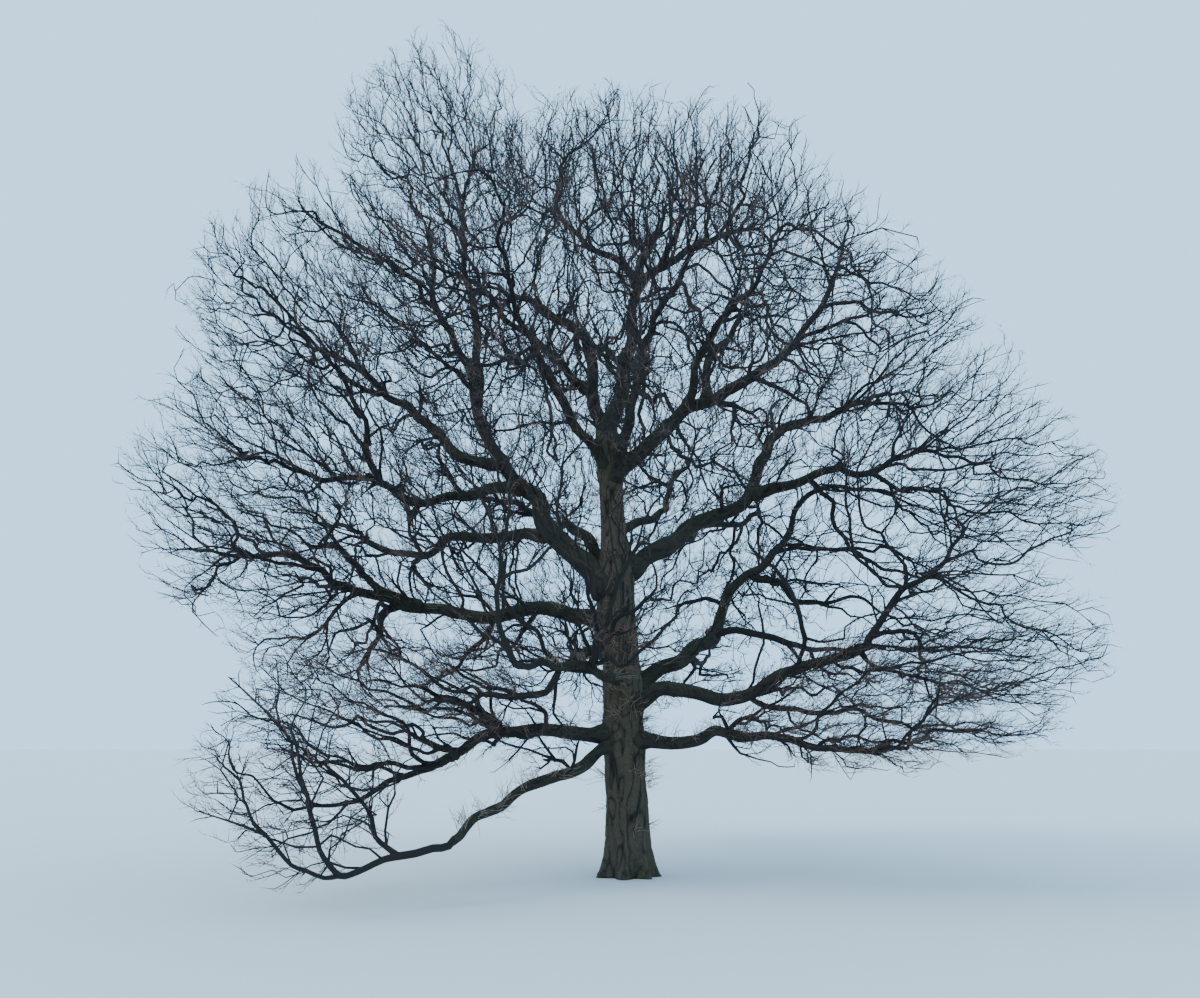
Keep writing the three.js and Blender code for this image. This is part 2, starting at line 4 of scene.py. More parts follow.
import bpy
import numpy as np
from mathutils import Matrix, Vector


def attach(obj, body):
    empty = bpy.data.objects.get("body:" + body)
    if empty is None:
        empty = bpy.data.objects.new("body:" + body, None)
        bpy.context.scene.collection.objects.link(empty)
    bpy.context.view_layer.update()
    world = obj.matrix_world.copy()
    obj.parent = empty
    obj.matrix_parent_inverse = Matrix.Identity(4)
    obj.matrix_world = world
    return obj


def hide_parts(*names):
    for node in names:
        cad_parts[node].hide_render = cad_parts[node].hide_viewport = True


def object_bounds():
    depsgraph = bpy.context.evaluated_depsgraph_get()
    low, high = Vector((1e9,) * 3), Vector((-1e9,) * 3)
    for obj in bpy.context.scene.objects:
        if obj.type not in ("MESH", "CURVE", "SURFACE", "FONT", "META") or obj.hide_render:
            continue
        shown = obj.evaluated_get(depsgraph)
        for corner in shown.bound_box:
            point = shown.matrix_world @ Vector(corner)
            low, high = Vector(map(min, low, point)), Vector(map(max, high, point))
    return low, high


# A mature bare oak. The trunk and boughs get a mesh with the bark's relief, and each mass of twigs is grown
# again by the rule of the part's source and carried on to finer twigs within the same reach.
# The limbs and the growth are worked out in millimetres, as in the part, and the meshes are in metres.
# +X is to the right, +Y is away and +Z is up. A heading is an angle in plan: 0 is right and 90 is back.

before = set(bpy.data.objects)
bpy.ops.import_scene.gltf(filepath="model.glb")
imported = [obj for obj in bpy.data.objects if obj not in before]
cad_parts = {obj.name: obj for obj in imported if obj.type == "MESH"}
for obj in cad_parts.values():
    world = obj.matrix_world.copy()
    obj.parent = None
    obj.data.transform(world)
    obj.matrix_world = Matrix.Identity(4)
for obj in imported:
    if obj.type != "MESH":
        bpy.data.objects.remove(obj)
CAD_BOX = [list(corner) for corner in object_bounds()]

METRE = 1000
TINY = 1e-9

# The trunk leans to the left more and more towards its fork.
TRUNK_HEIGHT = 10500
TRUNK_LEAN = -460
TRUNK_LEAN_POWER = 1.5
TRUNK_GIRTHS = [
    (0, 980), (1500, 945), (3200, 940), (5200, 870), (6400, 800),
    (7400, 690), (8600, 600), (9600, 560), (TRUNK_HEIGHT, 560),
]
TRUNK_LINE_HEIGHTS = [
    0, 90, 220, 420, 700, 1100, 1600, 2200, 2900, 3600,
    4300, 5000, 5700, 6400, 7100, 7900, 8700, 9600, TRUNK_HEIGHT,
]
BUTTRESSES = 7
BUTTRESS_REACH = 300
BUTTRESS_FADE = 480
BUTTRESS_EVENNESS = 0.55
BUTTRESS_TURN = 25
BUTTRESS_TURN_WAVES = 2

# A bough comes from the trunk at a height, or from another bough at a share of the way along it. It has a
# thickness at its root and its far end, and a rise and a heading at even steps along its line.
BOUGH_COLUMNS = ("name", "from", "at", "length", "girth", "rise", "heading")
BOUGHS = [
    ("low_left_front", "trunk", 2820, 8600, (290, 80), (-10, -15, -30, -15, -25, -5, -15), (-145, -120)),
    ("low_left", "trunk", 3190, 7100, (360, 90), (5, 0, -5, -30, -30, -15), (-170, -160)),
    ("left_low", "trunk", 5430, 9900, (410, 90), (30, -5, 10, 25, -10), (180, 190)),
    ("left_great", "trunk", 6190, 11100, (620, 100), (40, 50, 65, 40, 80, 70, 55, 90, 65), (170, 190)),
    ("left_low_rise", "left_low", 0.5, 3100, (220, 90), (15, 40, 35, 70), (-150, -140)),
    ("left_peak", "left_great", 0.55, 6300, (260, 90), (90, 85, 65, 90, 70), (140, 150)),
    ("left_high", "left_great", 0.42, 7400, (300, 90), (-25, 50, 35, 30, 45), (165, 175)),
    ("left_level", "left_great", 0.33, 6100, (300, 90), (5, -20, -10, 15, 0, 20), (-155, -165)),
    ("left_mid", "left_great", 0.21, 9100, (290, 80), (5, 5, -20, 25, 15, 35), (145, 155)),
    ("front_low", "trunk", 4400, 5200, (260, 80), (10, 5, -5, 5), (-115, -130)),
    ("inner_left", "trunk", 9300, 6400, (280, 80), (55, 20, 30, 40, 45), (-130, -105)),
    ("front_high", "trunk", 9000, 7000, (300, 80), (50, 30, 35, 45), (-80, -70)),
    ("leader", "trunk", 9900, 8400, (420, 90), (85, 80, 75, 90, 25, 30, 15), (20, 0)),
    ("leader_left", "trunk", 9900, 9300, (360, 90), (60, 80, 35, 35, 55), (120, 145)),
    ("upper_left", "leader_left", 0.21, 4000, (240, 90), (25, 25, 40, 30), (-165, -130)),
    ("top_left", "leader", 0.54, 3100, (220, 90), (60, 20, 20, 20), (-150, -135)),
    ("top_mid", "leader", 0.54, 4300, (240, 90), (85, 35, 80), (60, 50)),
    ("right_high", "trunk", 9410, 8500, (400, 90), (45, 45, 15, 45, 30, 70, 60), (-15, 5)),
    ("right_high_front", "right_high", 0.29, 5000, (220, 80), (30, 35, 30, 30), (-75, -60)),
    ("right_high_back", "right_high", 0.35, 6000, (230, 80), (80, 45, 50, 60), (65, 55)),
    ("right_inner", "trunk", 7850, 6400, (240, 80), (20, 25, 45, 45), (65, 70)),
    ("right_mid", "trunk", 6870, 11500, (450, 90), (40, 30, 15, 75, 35, 25, 20, 30), (20, 30)),
    ("right_level", "right_mid", 0.38, 4300, (300, 90), (30, 5, -15, 40), (-30, -20)),
    ("right_arch", "trunk", 3900, 9800, (410, 90), (25, 30, 25, 60, 35, 45, 55, 0), (35, 25)),
    ("right_low", "trunk", 3600, 9100, (370, 90), (50, 0, -5, 25, 10, 50, 25, 55), (-30, -20)),
    ("right_drop", "trunk", 2940, 6400, (330, 80), (10, 10, -5, -5, -15), (-40, -30)),
    ("back_low", "trunk", 4600, 6800, (340, 90), (20, 10, 0, 10), (110, 95)),
    ("back_left", "trunk", 7000, 7400, (320, 90), (45, 25, 20, 35), (125, 130)),
    ("back_right", "trunk", 6400, 7600, (340, 90), (45, 25, 15, 30), (45, 60)),
]
BOUGH_TAPER = 0.9
BOUGH_TAPERS = {"left_great": 1.5}
# A bough enters its mass of twigs at this share of its length.
BOUGH_ENTERS = 0.66
BOUGHS_ENTER_SOONER = {
    "left_low_rise": 0.5, "top_left": 0.5, "top_mid": 0.5,
    "upper_left": 0.55, "right_level": 0.55, "right_high_front": 0.6,
}
PATH_STEPS = 24
# The way in which a bough enters its mass is that of its last step, which is about this long.
BOUGH_STEP = 640
BOUGH_LEAST_STEPS = 3
# A bough is thicker by a share at its root, but stays thinner than its parent.
BOUGH_COLLAR = 0.35
BOUGH_COLLAR_FADE = 350
BOUGH_ROOT_SHARE = 0.92
# Boughs wander in long waves and are knobbly in short ones. The waves shift from one bough to the next.
WANDER_ANGLE = 16
WANDER_WAVE = 4200
WANDER_SHIFT = 0.37
GNARL_ANGLE = 12
GNARL_WAVE = 1900
GNARL_SHIFT = 0.61
GNARL_UNEVENNESS = 1.4
# A straight stretch of a limb begins at a share of its length and takes up a part of it.
STRETCH_COLUMNS = ("start", "span", "begins", "part", "girth", "taper", "length", "most_radius", "order")

# The crown's outline: rounded lobes, each with its middle and its half width, half depth and half height.
CROWN_LOBES = [
    ((-400, 200, 10700), (8600, 9700, 7200)),
    ((-7800, -400, 8800), (4100, 5400, 4100)),
    ((-7200, 400, 13600), (4200, 5200, 3500)),
    ((-5200, 800, 18200), (2900, 3600, 4000)),
    ((700, 400, 15600), (5600, 5400, 3900)),
    ((6000, 800, 12000), (3900, 5200, 3500)),
    ((8700, 0, 7900), (3000, 4400, 4200)),
    ((6600, -1600, 4900), (4100, 4600, 2600)),
    ((-6200, -4200, 2600), (2500, 3400, 2400)),
    ((-500, -6400, 10800), (5600, 4000, 3600)),
    ((0, 6800, 8200), (6800, 4600, 5000)),
    ((-5200, -600, 5000), (3900, 3600, 2300)),
    ((-2900, -1800, 3300), (2900, 2400, 1300)),
    ((5000, -2200, 3500), (3600, 2800, 1500)),
]
# The outline goes in and out in lumps, by a share of the square of the lobes' size.
OUTLINE_MOST = 1.12
OUTLINE_UNEVEN = 0.42
OUTLINE_LUMP = 1300
OUTLINE_SHIFT = (39.9, 46.6, 33.3)
# What grows keeps to the part's box with this margin, off the ground, and clear of the limbs' bark.
REACH_MARGIN = 150
GROUND_CLEARANCE = 150
LIMB_CLEARANCE = 70
# The crown is open at its heart and full further out and in its low skirt. At its edge it thins by a share.
CROWN_HEART = np.array([400, 0, 8500])
CROWN_HALF = np.array([11500, 10000, 11000])
FULL_SOONER = 1.7
SKIRT_TOP = 5000
EDGE_FADE = 0.5
# Places that the growth leaves open to the sky, or fills less or more than elsewhere. Each has its middle,
# its half width, depth and height, and how full it is.
OPEN_AND_FULL_PLACES = [
    ((10200, -500, 6500), (3200, 4500, 900), 0.1),
    ((3300, -500, 5600), (2300, 4500, 900), 0.1),
    ((3000, 0, 8000), (1500, 4000, 900), 0.1),
    ((2300, 0, 15000), (2900, 4500, 1300), 0.55),
    ((-2650, 0, 13400), (900, 4500, 700), 0.5),
    ((-7000, 0, 13100), (1700, 4500, 1000), 0.65),
    ((-2700, 0, 19400), (900, 4500, 1600), 2),
    ((-2500, 0, 15500), (1000, 4500, 1100), 2.8),
    ((900, 0, 12600), (700, 4500, 700), 2),
    ((-2300, 0, 10800), (900, 4500, 1300), 3),
    ((4500, 0, 10500), (900, 4500, 900), 1.8),
    ((-4000, 0, 9200), (2500, 4500, 2000), 1.5),
    ((2600, 0, 9600), (1400, 4500, 700), 1.8),
]
# Thickets of fine reddish twigs, given in the same way.
THICKETS = [
    ((-3800, -2500, 4400), (4600, 3500, 1300)),
    ((4700, -2100, 3700), (3400, 2800, 1200)),
]

# Branches grow step by step towards seeded points, which are counted here for each cubic metre of crown.
# A joint sees the points that lie within this angle of the way it grew, and keeps to that way by a share.
TIPS_SEED = 11
TIPS_PER_CUBIC_METRE = 5.7
BRANCH_INNER_SHARE = 0.3
BRANCH_STEP = 330
BRANCH_REACHED = 400
CROWDED_SHARE = 0.35
SIGHT_ANGLE = 72
PERSISTENCE = 0.45
# Branches run away from here, so the square of how far a point lies to the side counts this much more.
GROWTH_HEART = np.array([-300, 0, 3500])
SIDEWAYS_COUNTS = 4
BARE_ROUND_TRUNK = 1300
BARE_BELOW = 8500
STEM_FOOT = 150
BOUGH_BUDS_FROM = 0.1
BOUGH_BUD_SPACING = 1100
# Joints without a parent are marked: the foot of a mass's stem, and a bud on the bough itself.
FOOT = -1
BUD = -2

PIPE_POWER = 3
TIP_RADIUS = 8.5
BRANCH_TAPER = 0.4
STEM_SHARE = 0.97
BUD_THICKER = 2
CROOKED = 42
SMOOTH_OVER_RADIUS = 42
SMOOTH_STEP = 150
SMOOTH_CROOKED = 26
SIDE_BRANCH_MOST = 1.25
# How many sides a branch has where its root is thicker than this radius.
BRANCH_SIDES = [(SMOOTH_OVER_RADIUS, 7), (24, 4), (0, 3)]

# Noise is read this far apart where one place needs several kinds of it.
NOISE_SEED = 3
NOISE_CELLS = 48
NOISE_SHIFT = 7
# The bark's plates are narrower on thin limbs, down to a share. Their furrows bend, and cracks cross them.
BARK_PLATE = 100
BARK_PLATE_LENGTH = 3.4
BARK_PLATE_ROUND = 0.7
BARK_LEAST = 0.55
BARK_DEPTH = 22
BARK_FULL_RADIUS = 450
BARK_BEND = 1.3
BARK_BEND_SCALE = 0.45
BARK_FURROW_WIDTH = 0.32
BARK_CRACK_WIDTH = 0.12
BARK_CRACK_DEPTH = 0.28
BARK_CRACK_SCALE = [0.8, 0.8, 2.6]
BARK_ROUGH = 0.2
BARK_ROUGH_SCALE = 3.1
BARK_SLANT = 160
BARK_STARTS_OVER = 60
TRUNK_SIDES = 120
TRUNK_RING_STEP = 46
TRUNK_DOME = 320
TRUNK_DOME_RINGS = 6
TRUNK_TOP_SHARE = 0.15
TRUNK_LUMPS = 50
TRUNK_LUMPS_ROUND = 1.7
TRUNK_LUMP_LENGTH = 900
# The trunk swells round the foot of each bough, and further up and down than to the sides.
SWELL_SHARE = 0.45
SWELL_REACH = 1.5
SWELL_SHAPE = [1, 1, 0.7]
BOUGH_RING_STEP = 75
BOUGH_SIDES_PER_METRE = 70
BOUGH_SIDES = (16, 44)
BOUGH_OVERRUN = 0.004
BOUGH_NOISE_SHIFT = 3.7
BOUGH_BARK_SHIFT = 977
BOUGH_LUMPS = 0.16
BOUGH_LUMP_LENGTH = 420
BOUGH_KINKS = 110
BOUGH_KINK_LENGTH = 650
BOUGH_KINKS_FADE = 500
# A bough flares where it leaves its parent's bark, and its root inside the parent is thinner.
COLLAR_FLARE = 0.35
COLLAR_FADE = 230
ROOT_SHARE = 0.45
NEARLY_UPRIGHT = 0.7

# Twigs stand off the thinner branches and the bare parts of the boughs.
MASS_SEED = 100
TWIGS_UNDER_RADIUS = 60
TWIG_SPACING = 312
THICKET_MORE_TWIGS = 1.4
BOUGH_TWIG_SPACING = 500
BOUGH_TWIGS_FROM = 0.2
BOUGH_TWIG_STRETCHES = 11
TWIG_ANGLE = 52
TWIG_ANGLE_SPREAD = 12
TWIG_LIFT = 0.2
TWIG_END_LIFT = 0.15
TWIG_OUTWARD = 0.8
TWIG_INNER_SHARE = 0.1
TWIG_ZIGZAG = 0.3
TWIG_LENGTHS = (260, 700)
TWIG_RADII = [8, 6.5, 0]
TWIG_THICKNESS = (0.85, 1.2)
TWIG_SIDES = 3
TWIG_ROLL = 2
# A spur's stretch of its twig, and the share of the way along that stretch.
SPUR_PLACES = [(0, 0.45), (0, 0.8), (0, 1), (1, 0.35), (1, 0.7), (1, 1), (1, 1)]
SPUR_SPREAD = 0.75
SPUR_LIFT = 0.1
SPUR_LENGTHS = (110, 330)
SPUR_RADII = [6, 0]

TUFT_SEED = 5
TUFT_SHOOTS = 15
TUFT_WIDTH = 55
TUFT_SPREAD = 0.55
TUFT_BEND = 0.22
# The share of a shoot that each of its three stretches takes, and how much each turns up.
TUFT_STRETCHES = (0.36, 0.34, 0.3)
TUFT_LIFTS = (0.55, 0.15, 0.3)
TUFT_LENGTHS = (180, 620)
TUFT_RADII = [6, 5, 4, 0]
# How many tufts the trunk has round each height, and how far they stray from it.
TRUNK_TUFTS = [(1200, 4), (2200, 8), (3500, 18), (5500, 15), (8800, 8), (10000, 5)]
TRUNK_TUFT_STRAY = 260
# How many tufts each metre of a bough has. They stand up from it and lean aside.
TUFTS_PER_METRE = 0.7
BOUGH_TUFTS = {
    "low_left_front": 2.2, "low_left": 2.5, "right_drop": 2.2, "front_low": 1.8, "left_low": 1.4,
    "left_great": 2.4, "left_level": 2.2, "inner_left": 3, "left_mid": 1.8, "right_mid": 1.2, "leader": 1.6,
}
BOUGH_TUFTS_FROM = 0.1
BOUGH_TUFT_UP = 0.5
BOUGH_TUFT_ASIDE = 0.6
# A tuft's foot is inside the bark, at this share of the limb's radius.
TRUNK_TUFT_FOOT = 0.97
BOUGH_TUFT_FOOT = 0.9
# Masses are joined into pieces to the left and to the right of here.
SIDES_MEET_AT = -1500

# Colours are linear red, green and blue.
# The furrows' near-black is partly the bark's own darker colour and partly painted shade in the furrows.
FURROW_COLOR_WITH_PAINTED_SHADE = (0.012, 0.010, 0.008)
PLATE_COLOR = (0.062, 0.044, 0.030)
BOUGH_COLOR = (0.028, 0.021, 0.017)
ALGAE_COLOR = (0.058, 0.060, 0.026)
BRANCH_COLOR = (0.021, 0.016, 0.014)
TWIG_COLORS = [(0.030, 0.023, 0.023), (0.068, 0.044, 0.041), (0.15, 0.083, 0.066)]
TWIG_SHARES = [0.4, 0.38, 0.22]
THICKET_REDDER = 0.45
TUFT_COLOR = (0.27, 0.18, 0.14)
FLOOR_COLOR = (0.72, 0.72, 0.70)
SPECULAR = 0.25
BARK_ROUGHNESS = 0.93
TWIG_ROUGHNESS = 0.85
TWIG_ROUGHNESS_RANGE = (0.7, 0.98)
FLOOR_ROUGHNESS = 0.9
# A material's noise: its scale, its detail, and how it is drawn out along the axes.
BARK_GRAIN = (38, 6, (1, 1, 0.5))
TWIG_GRAIN = (120, 2, (1, 1, 1))
ALGAE_PATCHES = (1.6, 4, (1, 1, 1))
ALGAE_STREAKS = (9, 5, (1, 1, 0.2))
# A bump's strength, and its height in metres.
BARK_BUMP = (0.7, 0.012)
TWIG_BUMP = (0.4, 0.004)
# The bark's colour goes from its furrows, darkened partly by painted shade, to its plates to their pale
# ridges at these heights of the relief.
RELIEF_CONTRAST = 1.7
RELIEF_STOPS = (0.12, 0.55, 0.95)
PALE_RIDGE = 1.45
# Algae are darker in the grain, and start and are thickest at these amounts of patch, streak and facing up.
ALGAE_DARKER = 0.55
ALGAE_GRAIN_STOPS = (0.3, 0.75)
ALGAE_FACING_UP = 0.35
ALGAE_STOPS = (0.2, 0.45)
TRUNK_ALGAE = 0.6
BOUGH_ALGAE = 0.55
# The sockets of a mix node that hold colours.
MIX_NODE_COLORS = (6, 7)
MIX_NODE_RESULT = 2

# The studio is in metres, degrees and, for the lens, millimetres.
FLOOR_REACH = 400
SKY_COLOR = (0.43, 0.72, 1.0)
SKY_STRENGTH = 2.05
SUN_STRENGTH = 1.6
SUN_WIDTH = 25
SUN_TURN = (50, 0, -75)
CAMERA_PLACE = (-0.632, -25, 2.96)
CAMERA_PITCH = 13
CAMERA_LENS = 31.5
CAMERA_SENSOR = 36
CAMERA_SEES_TO = 2000

REACH_LOW = np.array(CAD_BOX[0]) * METRE - REACH_MARGIN
REACH_HIGH = np.array(CAD_BOX[1]) * METRE + REACH_MARGIN
NOISE = np.random.default_rng(NOISE_SEED).random((NOISE_CELLS, NOISE_CELLS, NOISE_CELLS))


def lengths(vectors):
    return np.linalg.norm(vectors, axis=-1)


def unit(vectors):
    return vectors / np.maximum(lengths(vectors), TINY)[..., None]


def along(values, share):
    """The value or the place at a share of the way along evenly spaced ones."""
    place = share * (len(values) - 1)
    index = min(int(place), len(values) - 2)
    return values[index] + (values[index + 1] - values[index]) * (place - index)


def noise(points):
    """Smooth noise from 0 to 1, with one cell of it for each unit of length."""
    base = np.floor(points).astype(int)
    part = points - base
    part = part * part * (3 - 2 * part)
    total = np.zeros(points.shape[:-1])
    for corner in np.ndindex(2, 2, 2):
        weight = np.prod(np.where(corner, part, 1 - part), axis=-1)
        index = (base + corner) % NOISE_CELLS
        total += weight * NOISE[index[..., 0], index[..., 1], index[..., 2]]
    return total


def swing(points):
    """The same noise from -0.5 to 0.5."""
    return noise(points) - 0.5


def direction(rise, heading):
    rise, heading = math.radians(rise), math.radians(heading)
    level = math.cos(rise)
    return np.array([level * math.cos(heading), level * math.sin(heading), math.sin(rise)])


def trunk_axis(height):
    lean = TRUNK_LEAN * (height / TRUNK_HEIGHT) ** TRUNK_LEAN_POWER
    return np.array([lean, 0.0, height])


def trunk_radius(height):
    levels, girths = zip(*TRUNK_GIRTHS)
    return np.interp(height, levels, girths) / 2


def buttress(height, angle):
    """How far the root buttresses stand out of the trunk at a height and an angle round it."""
    turn = np.deg2rad(BUTTRESS_TURN) * np.cos(BUTTRESS_TURN_WAVES * angle)
    wave = np.cos(BUTTRESSES * angle + turn)
    share = BUTTRESS_EVENNESS + (1 - BUTTRESS_EVENNESS) * wave
    return BUTTRESS_REACH * share * np.exp(-height / BUTTRESS_FADE)


def middle_line(start, bough):
    """A limb's middle line, from its root inside its parent to its tip."""
    points = [start]
    step = bough["length"] / PATH_STEPS
    for index in range(PATH_STEPS):
        share = (index + 0.5) / PATH_STEPS
        distance = share * bough["length"]
        wave = 2 * math.pi * (distance / WANDER_WAVE + WANDER_SHIFT * bough["order"])
        even_knee = 2 * math.pi * (distance / GNARL_WAVE + GNARL_SHIFT * bough["order"])
        knee = even_knee + GNARL_UNEVENNESS * math.sin(wave)
        rise = along(bough["rise"], share) + GNARL_ANGLE * math.sin(knee)
        wander = WANDER_ANGLE * math.sin(wave) + GNARL_ANGLE * math.cos(knee)
        points.append(points[-1] + direction(rise, along(bough["heading"], share) + wander) * step)
    return np.array(points)


def limb_radius(limb, share):
    """How thick a bough is at a share of its length, or each of several stretches of limb is."""
    root, tip = np.transpose(limb["girth"])
    thin = tip + (root - tip) * (1 - share) ** limb["taper"]
    collar = 1 + BOUGH_COLLAR * np.exp(-share * limb["length"] / BOUGH_COLLAR_FADE)
    return np.minimum(thin * collar / 2, limb["most_radius"])


def lay_out_boughs():
    """Every bough's middle line, and the place and the way in which its mass begins."""
    laid_out = []
    for order, row in enumerate(BOUGHS):
        bough = dict(zip(BOUGH_COLUMNS, row), order=order)
        bough["taper"] = BOUGH_TAPERS.get(bough["name"], BOUGH_TAPER)
        bough["enters"] = BOUGHS_ENTER_SOONER.get(bough["name"], BOUGH_ENTERS)
        parent = next((other for other in laid_out if other["name"] == bough["from"]), None)
        at = bough["at"]
        start = along(parent["line"], at) if parent else trunk_axis(at)
        bough["inside"] = limb_radius(parent, at) if parent else trunk_radius(at)
        bough["most_radius"] = BOUGH_ROOT_SHARE * bough["inside"]
        bough["line"] = middle_line(start, bough)
        bough["end"] = along(bough["line"], bough["enters"])
        steps = max(BOUGH_LEAST_STEPS, math.floor(bough["length"] * bough["enters"] / BOUGH_STEP + 0.5))
        before = along(bough["line"], bough["enters"] * (steps - 1) / steps)
        bough["outward"] = unit(bough["end"] - before)
        laid_out.append(bough)
    return laid_out


boughs = lay_out_boughs()


def side_of(bough):
    return "left" if bough["line"][-1][0] < SIDES_MEET_AT else "right"


def level_in(places, points):
    """0 in the middle and 1 at the edge of the place that a point is deepest in, and which place that is."""
    middles, halves = np.array([place[:2] for place in places], float).transpose(1, 0, 2)
    levels = (((points[:, None] - middles) / halves) ** 2).sum(axis=2)
    return levels.min(axis=1), levels.argmin(axis=1)


def in_reach(points):
    """Whether points are inside the crown's uneven outline and the part's box, and off the ground."""
    outline = OUTLINE_MOST - OUTLINE_UNEVEN * noise(points / OUTLINE_LUMP + OUTLINE_SHIFT)
    inside = (level_in(CROWN_LOBES, points)[0] < outline) & (points[:, 2] > GROUND_CLEARANCE)
    return inside & ((points > REACH_LOW) & (points < REACH_HIGH)).all(axis=1)


def fullness(points, least):
    """How much of what could grow does: least in the crown's open heart, then all, and less at its edge."""
    level = FULL_SOONER * (((points - CROWN_HEART) / CROWN_HALF) ** 2).sum(axis=-1)
    level = np.where(points[..., 2] < SKIRT_TOP, 1, np.minimum(1, level))
    edge = 1 - EDGE_FADE * np.minimum(1, level_in(CROWN_LOBES, points)[0]) ** 2
    depth, place = level_in(OPEN_AND_FULL_PLACES, points)
    share = np.where(depth < 1, np.array([row[2] for row in OPEN_AND_FULL_PLACES])[place], 1)
    return (least + (1 - least) * level) * edge * share


def in_bare_core(points):
    """The shaded space close round the lower trunk, where an old oak keeps no fine twigs."""
    distance = np.hypot(points[:, 0] - trunk_axis(BARE_BELOW / 2)[0], points[:, 1])
    return (distance < BARE_ROUND_TRUNK) & (points[:, 2] < BARE_BELOW)


def nearest_bough(points):
    """The order of the bough whose line passes nearest to each point."""
    return np.argmin([lengths(points[:, None] - bough["line"]).min(axis=1) for bough in boughs], axis=0)


def limb_stretches():
    """All limbs' middle lines in straight stretches. The trunk counts as thick as its foot all along."""
    foot = trunk_radius(0)
    trunk = {
        "line": [trunk_axis(height) for height in TRUNK_LINE_HEIGHTS], "girth": (2 * foot, 2 * foot),
        "taper": 1, "length": TRUNK_HEIGHT, "most_radius": foot, "order": len(boughs),
    }
    rows = []
    for limb in [*boughs, trunk]:
        steps = len(limb["line"]) - 1
        for index in range(steps):
            start, end = limb["line"][index:index + 2]
            place = {"start": start, "span": end - start, "begins": index / steps, "part": 1 / steps}
            rows.append({**limb, **place})
    return {name: np.array([row[name] for row in rows]) for name in STRETCH_COLUMNS}


STRETCHES = limb_stretches()


def touches_limb(bough, points):
    """Whether points are near a limb. A mass's own bough counts as far as the mass begins."""
    keep = (STRETCHES["order"] != bough["order"]) | (STRETCHES["begins"] < bough["enters"])
    limb = {name: column[keep] for name, column in STRETCHES.items()}
    offset = points[:, None] - limb["start"]
    share = np.clip((offset * limb["span"]).sum(axis=2) / (limb["span"] ** 2).sum(axis=1), 0, 1)
    radius = limb_radius(limb, limb["begins"] + share * limb["part"])
    apart = lengths(offset - share[..., None] * limb["span"]) - radius
    return apart.min(axis=1) < LIMB_CLEARANCE


def stem_joints(bough):
    """The stem of a mass, which follows the rest of its bough's line until another limb is in its way."""
    places = [bough["end"], bough["end"] + bough["outward"] * STEM_FOOT]
    enters = bough["enters"]
    steps = max(1, math.floor(bough["length"] * (1 - enters) / BRANCH_STEP + 0.5))
    for index in range(1, steps + 1):
        following = along(bough["line"], enters + (1 - enters) * index / steps)
        if touches_limb(bough, following[None])[0]:
            break
        places.append(following)
    places = np.array(places)
    parents = np.arange(len(places)) - 1
    headings = unit(np.vstack([bough["outward"], places[1:] - places[:-1]]))
    return places, parents, headings


def in_sight(places, headings, tips):
    """Distances from each tip to each joint, endless where the tip isn't ahead of the joint.
    What lies aside of the way out of the crown counts more, so that branches run outwards."""
    offsets = tips[:, None] - places
    distances = lengths(offsets)
    ahead = (offsets * headings).sum(axis=2) > math.cos(math.radians(SIGHT_ANGLE)) * distances
    outwards = (offsets * unit(tips - GROWTH_HEART)[:, None]).sum(axis=2)
    counted = np.sqrt(distances ** 2 + SIDEWAYS_COUNTS * (distances ** 2 - outwards ** 2))
    return np.where(ahead, counted, np.inf)


def crowded(places, parents, sources, chosen):
    """Whether a step is too short, or comes too near to another that grew from the same joint."""
    near = BRANCH_STEP * CROWDED_SHARE
    crowd = lengths(places[sources] - chosen) < near
    rows, sisters = np.nonzero(parents == sources[:, None])
    crowd[rows[lengths(chosen[rows] - places[sisters]) < near]] = True
    return crowd


def grow(joints, tips, is_free):
    """Joints with their parents. In each round every joint that is nearest to some tips grows one step
    towards all of those, or else towards the nearest of them alone."""
    places, parents, headings = joints
    distances = in_sight(places, headings, tips)
    nearest = distances.argmin(axis=1)
    distance = distances.min(axis=1)
    while True:
        seen = np.isfinite(distance)
        tips, nearest, distance = tips[seen], nearest[seen], distance[seen]
        if len(tips) == 0:
            return places, parents
        sources, group = np.unique(nearest, return_inverse=True)
        offset = tips - places[nearest]
        pull = np.zeros((len(sources), 3))
        np.add.at(pull, group, unit(offset))
        apart = lengths(offset)
        order = np.lexsort((apart, group))
        closest = order[np.searchsorted(group[order], np.arange(len(sources)))]
        base = places[sources]
        gap = apart[closest]
        arrived = gap < BRANCH_REACHED
        wide = base + unit(unit(pull) + headings[sources] * PERSISTENCE) * BRANCH_STEP
        short = tips[closest] + (base - tips[closest]) * np.maximum(0, 1 - BRANCH_STEP / gap)[:, None]
        take_wide = ~arrived & is_free(wide) & ~crowded(places, parents, sources, wide)
        chosen = np.where(take_wide[:, None], wide, short)
        grows = take_wide | (is_free(short) & ~crowded(places, parents, sources, short))
        kept = np.ones(len(tips), bool)
        kept[closest[arrived | ~grows]] = False
        tips, nearest, distance = tips[kept], nearest[kept], distance[kept]
        first_new = len(places)
        places = np.vstack([places, chosen[grows]])
        parents = np.concatenate([parents, sources[grows]])
        headings = np.vstack([headings, unit(chosen[grows] - base[grows])])
        if len(tips) > 0 and len(places) > first_new:
            fresh = in_sight(places[first_new:], headings[first_new:], tips)
            closer = fresh.min(axis=1) < distance
            nearest = np.where(closer, fresh.argmin(axis=1) + first_new, nearest)
            distance = np.where(closer, fresh.min(axis=1), distance)


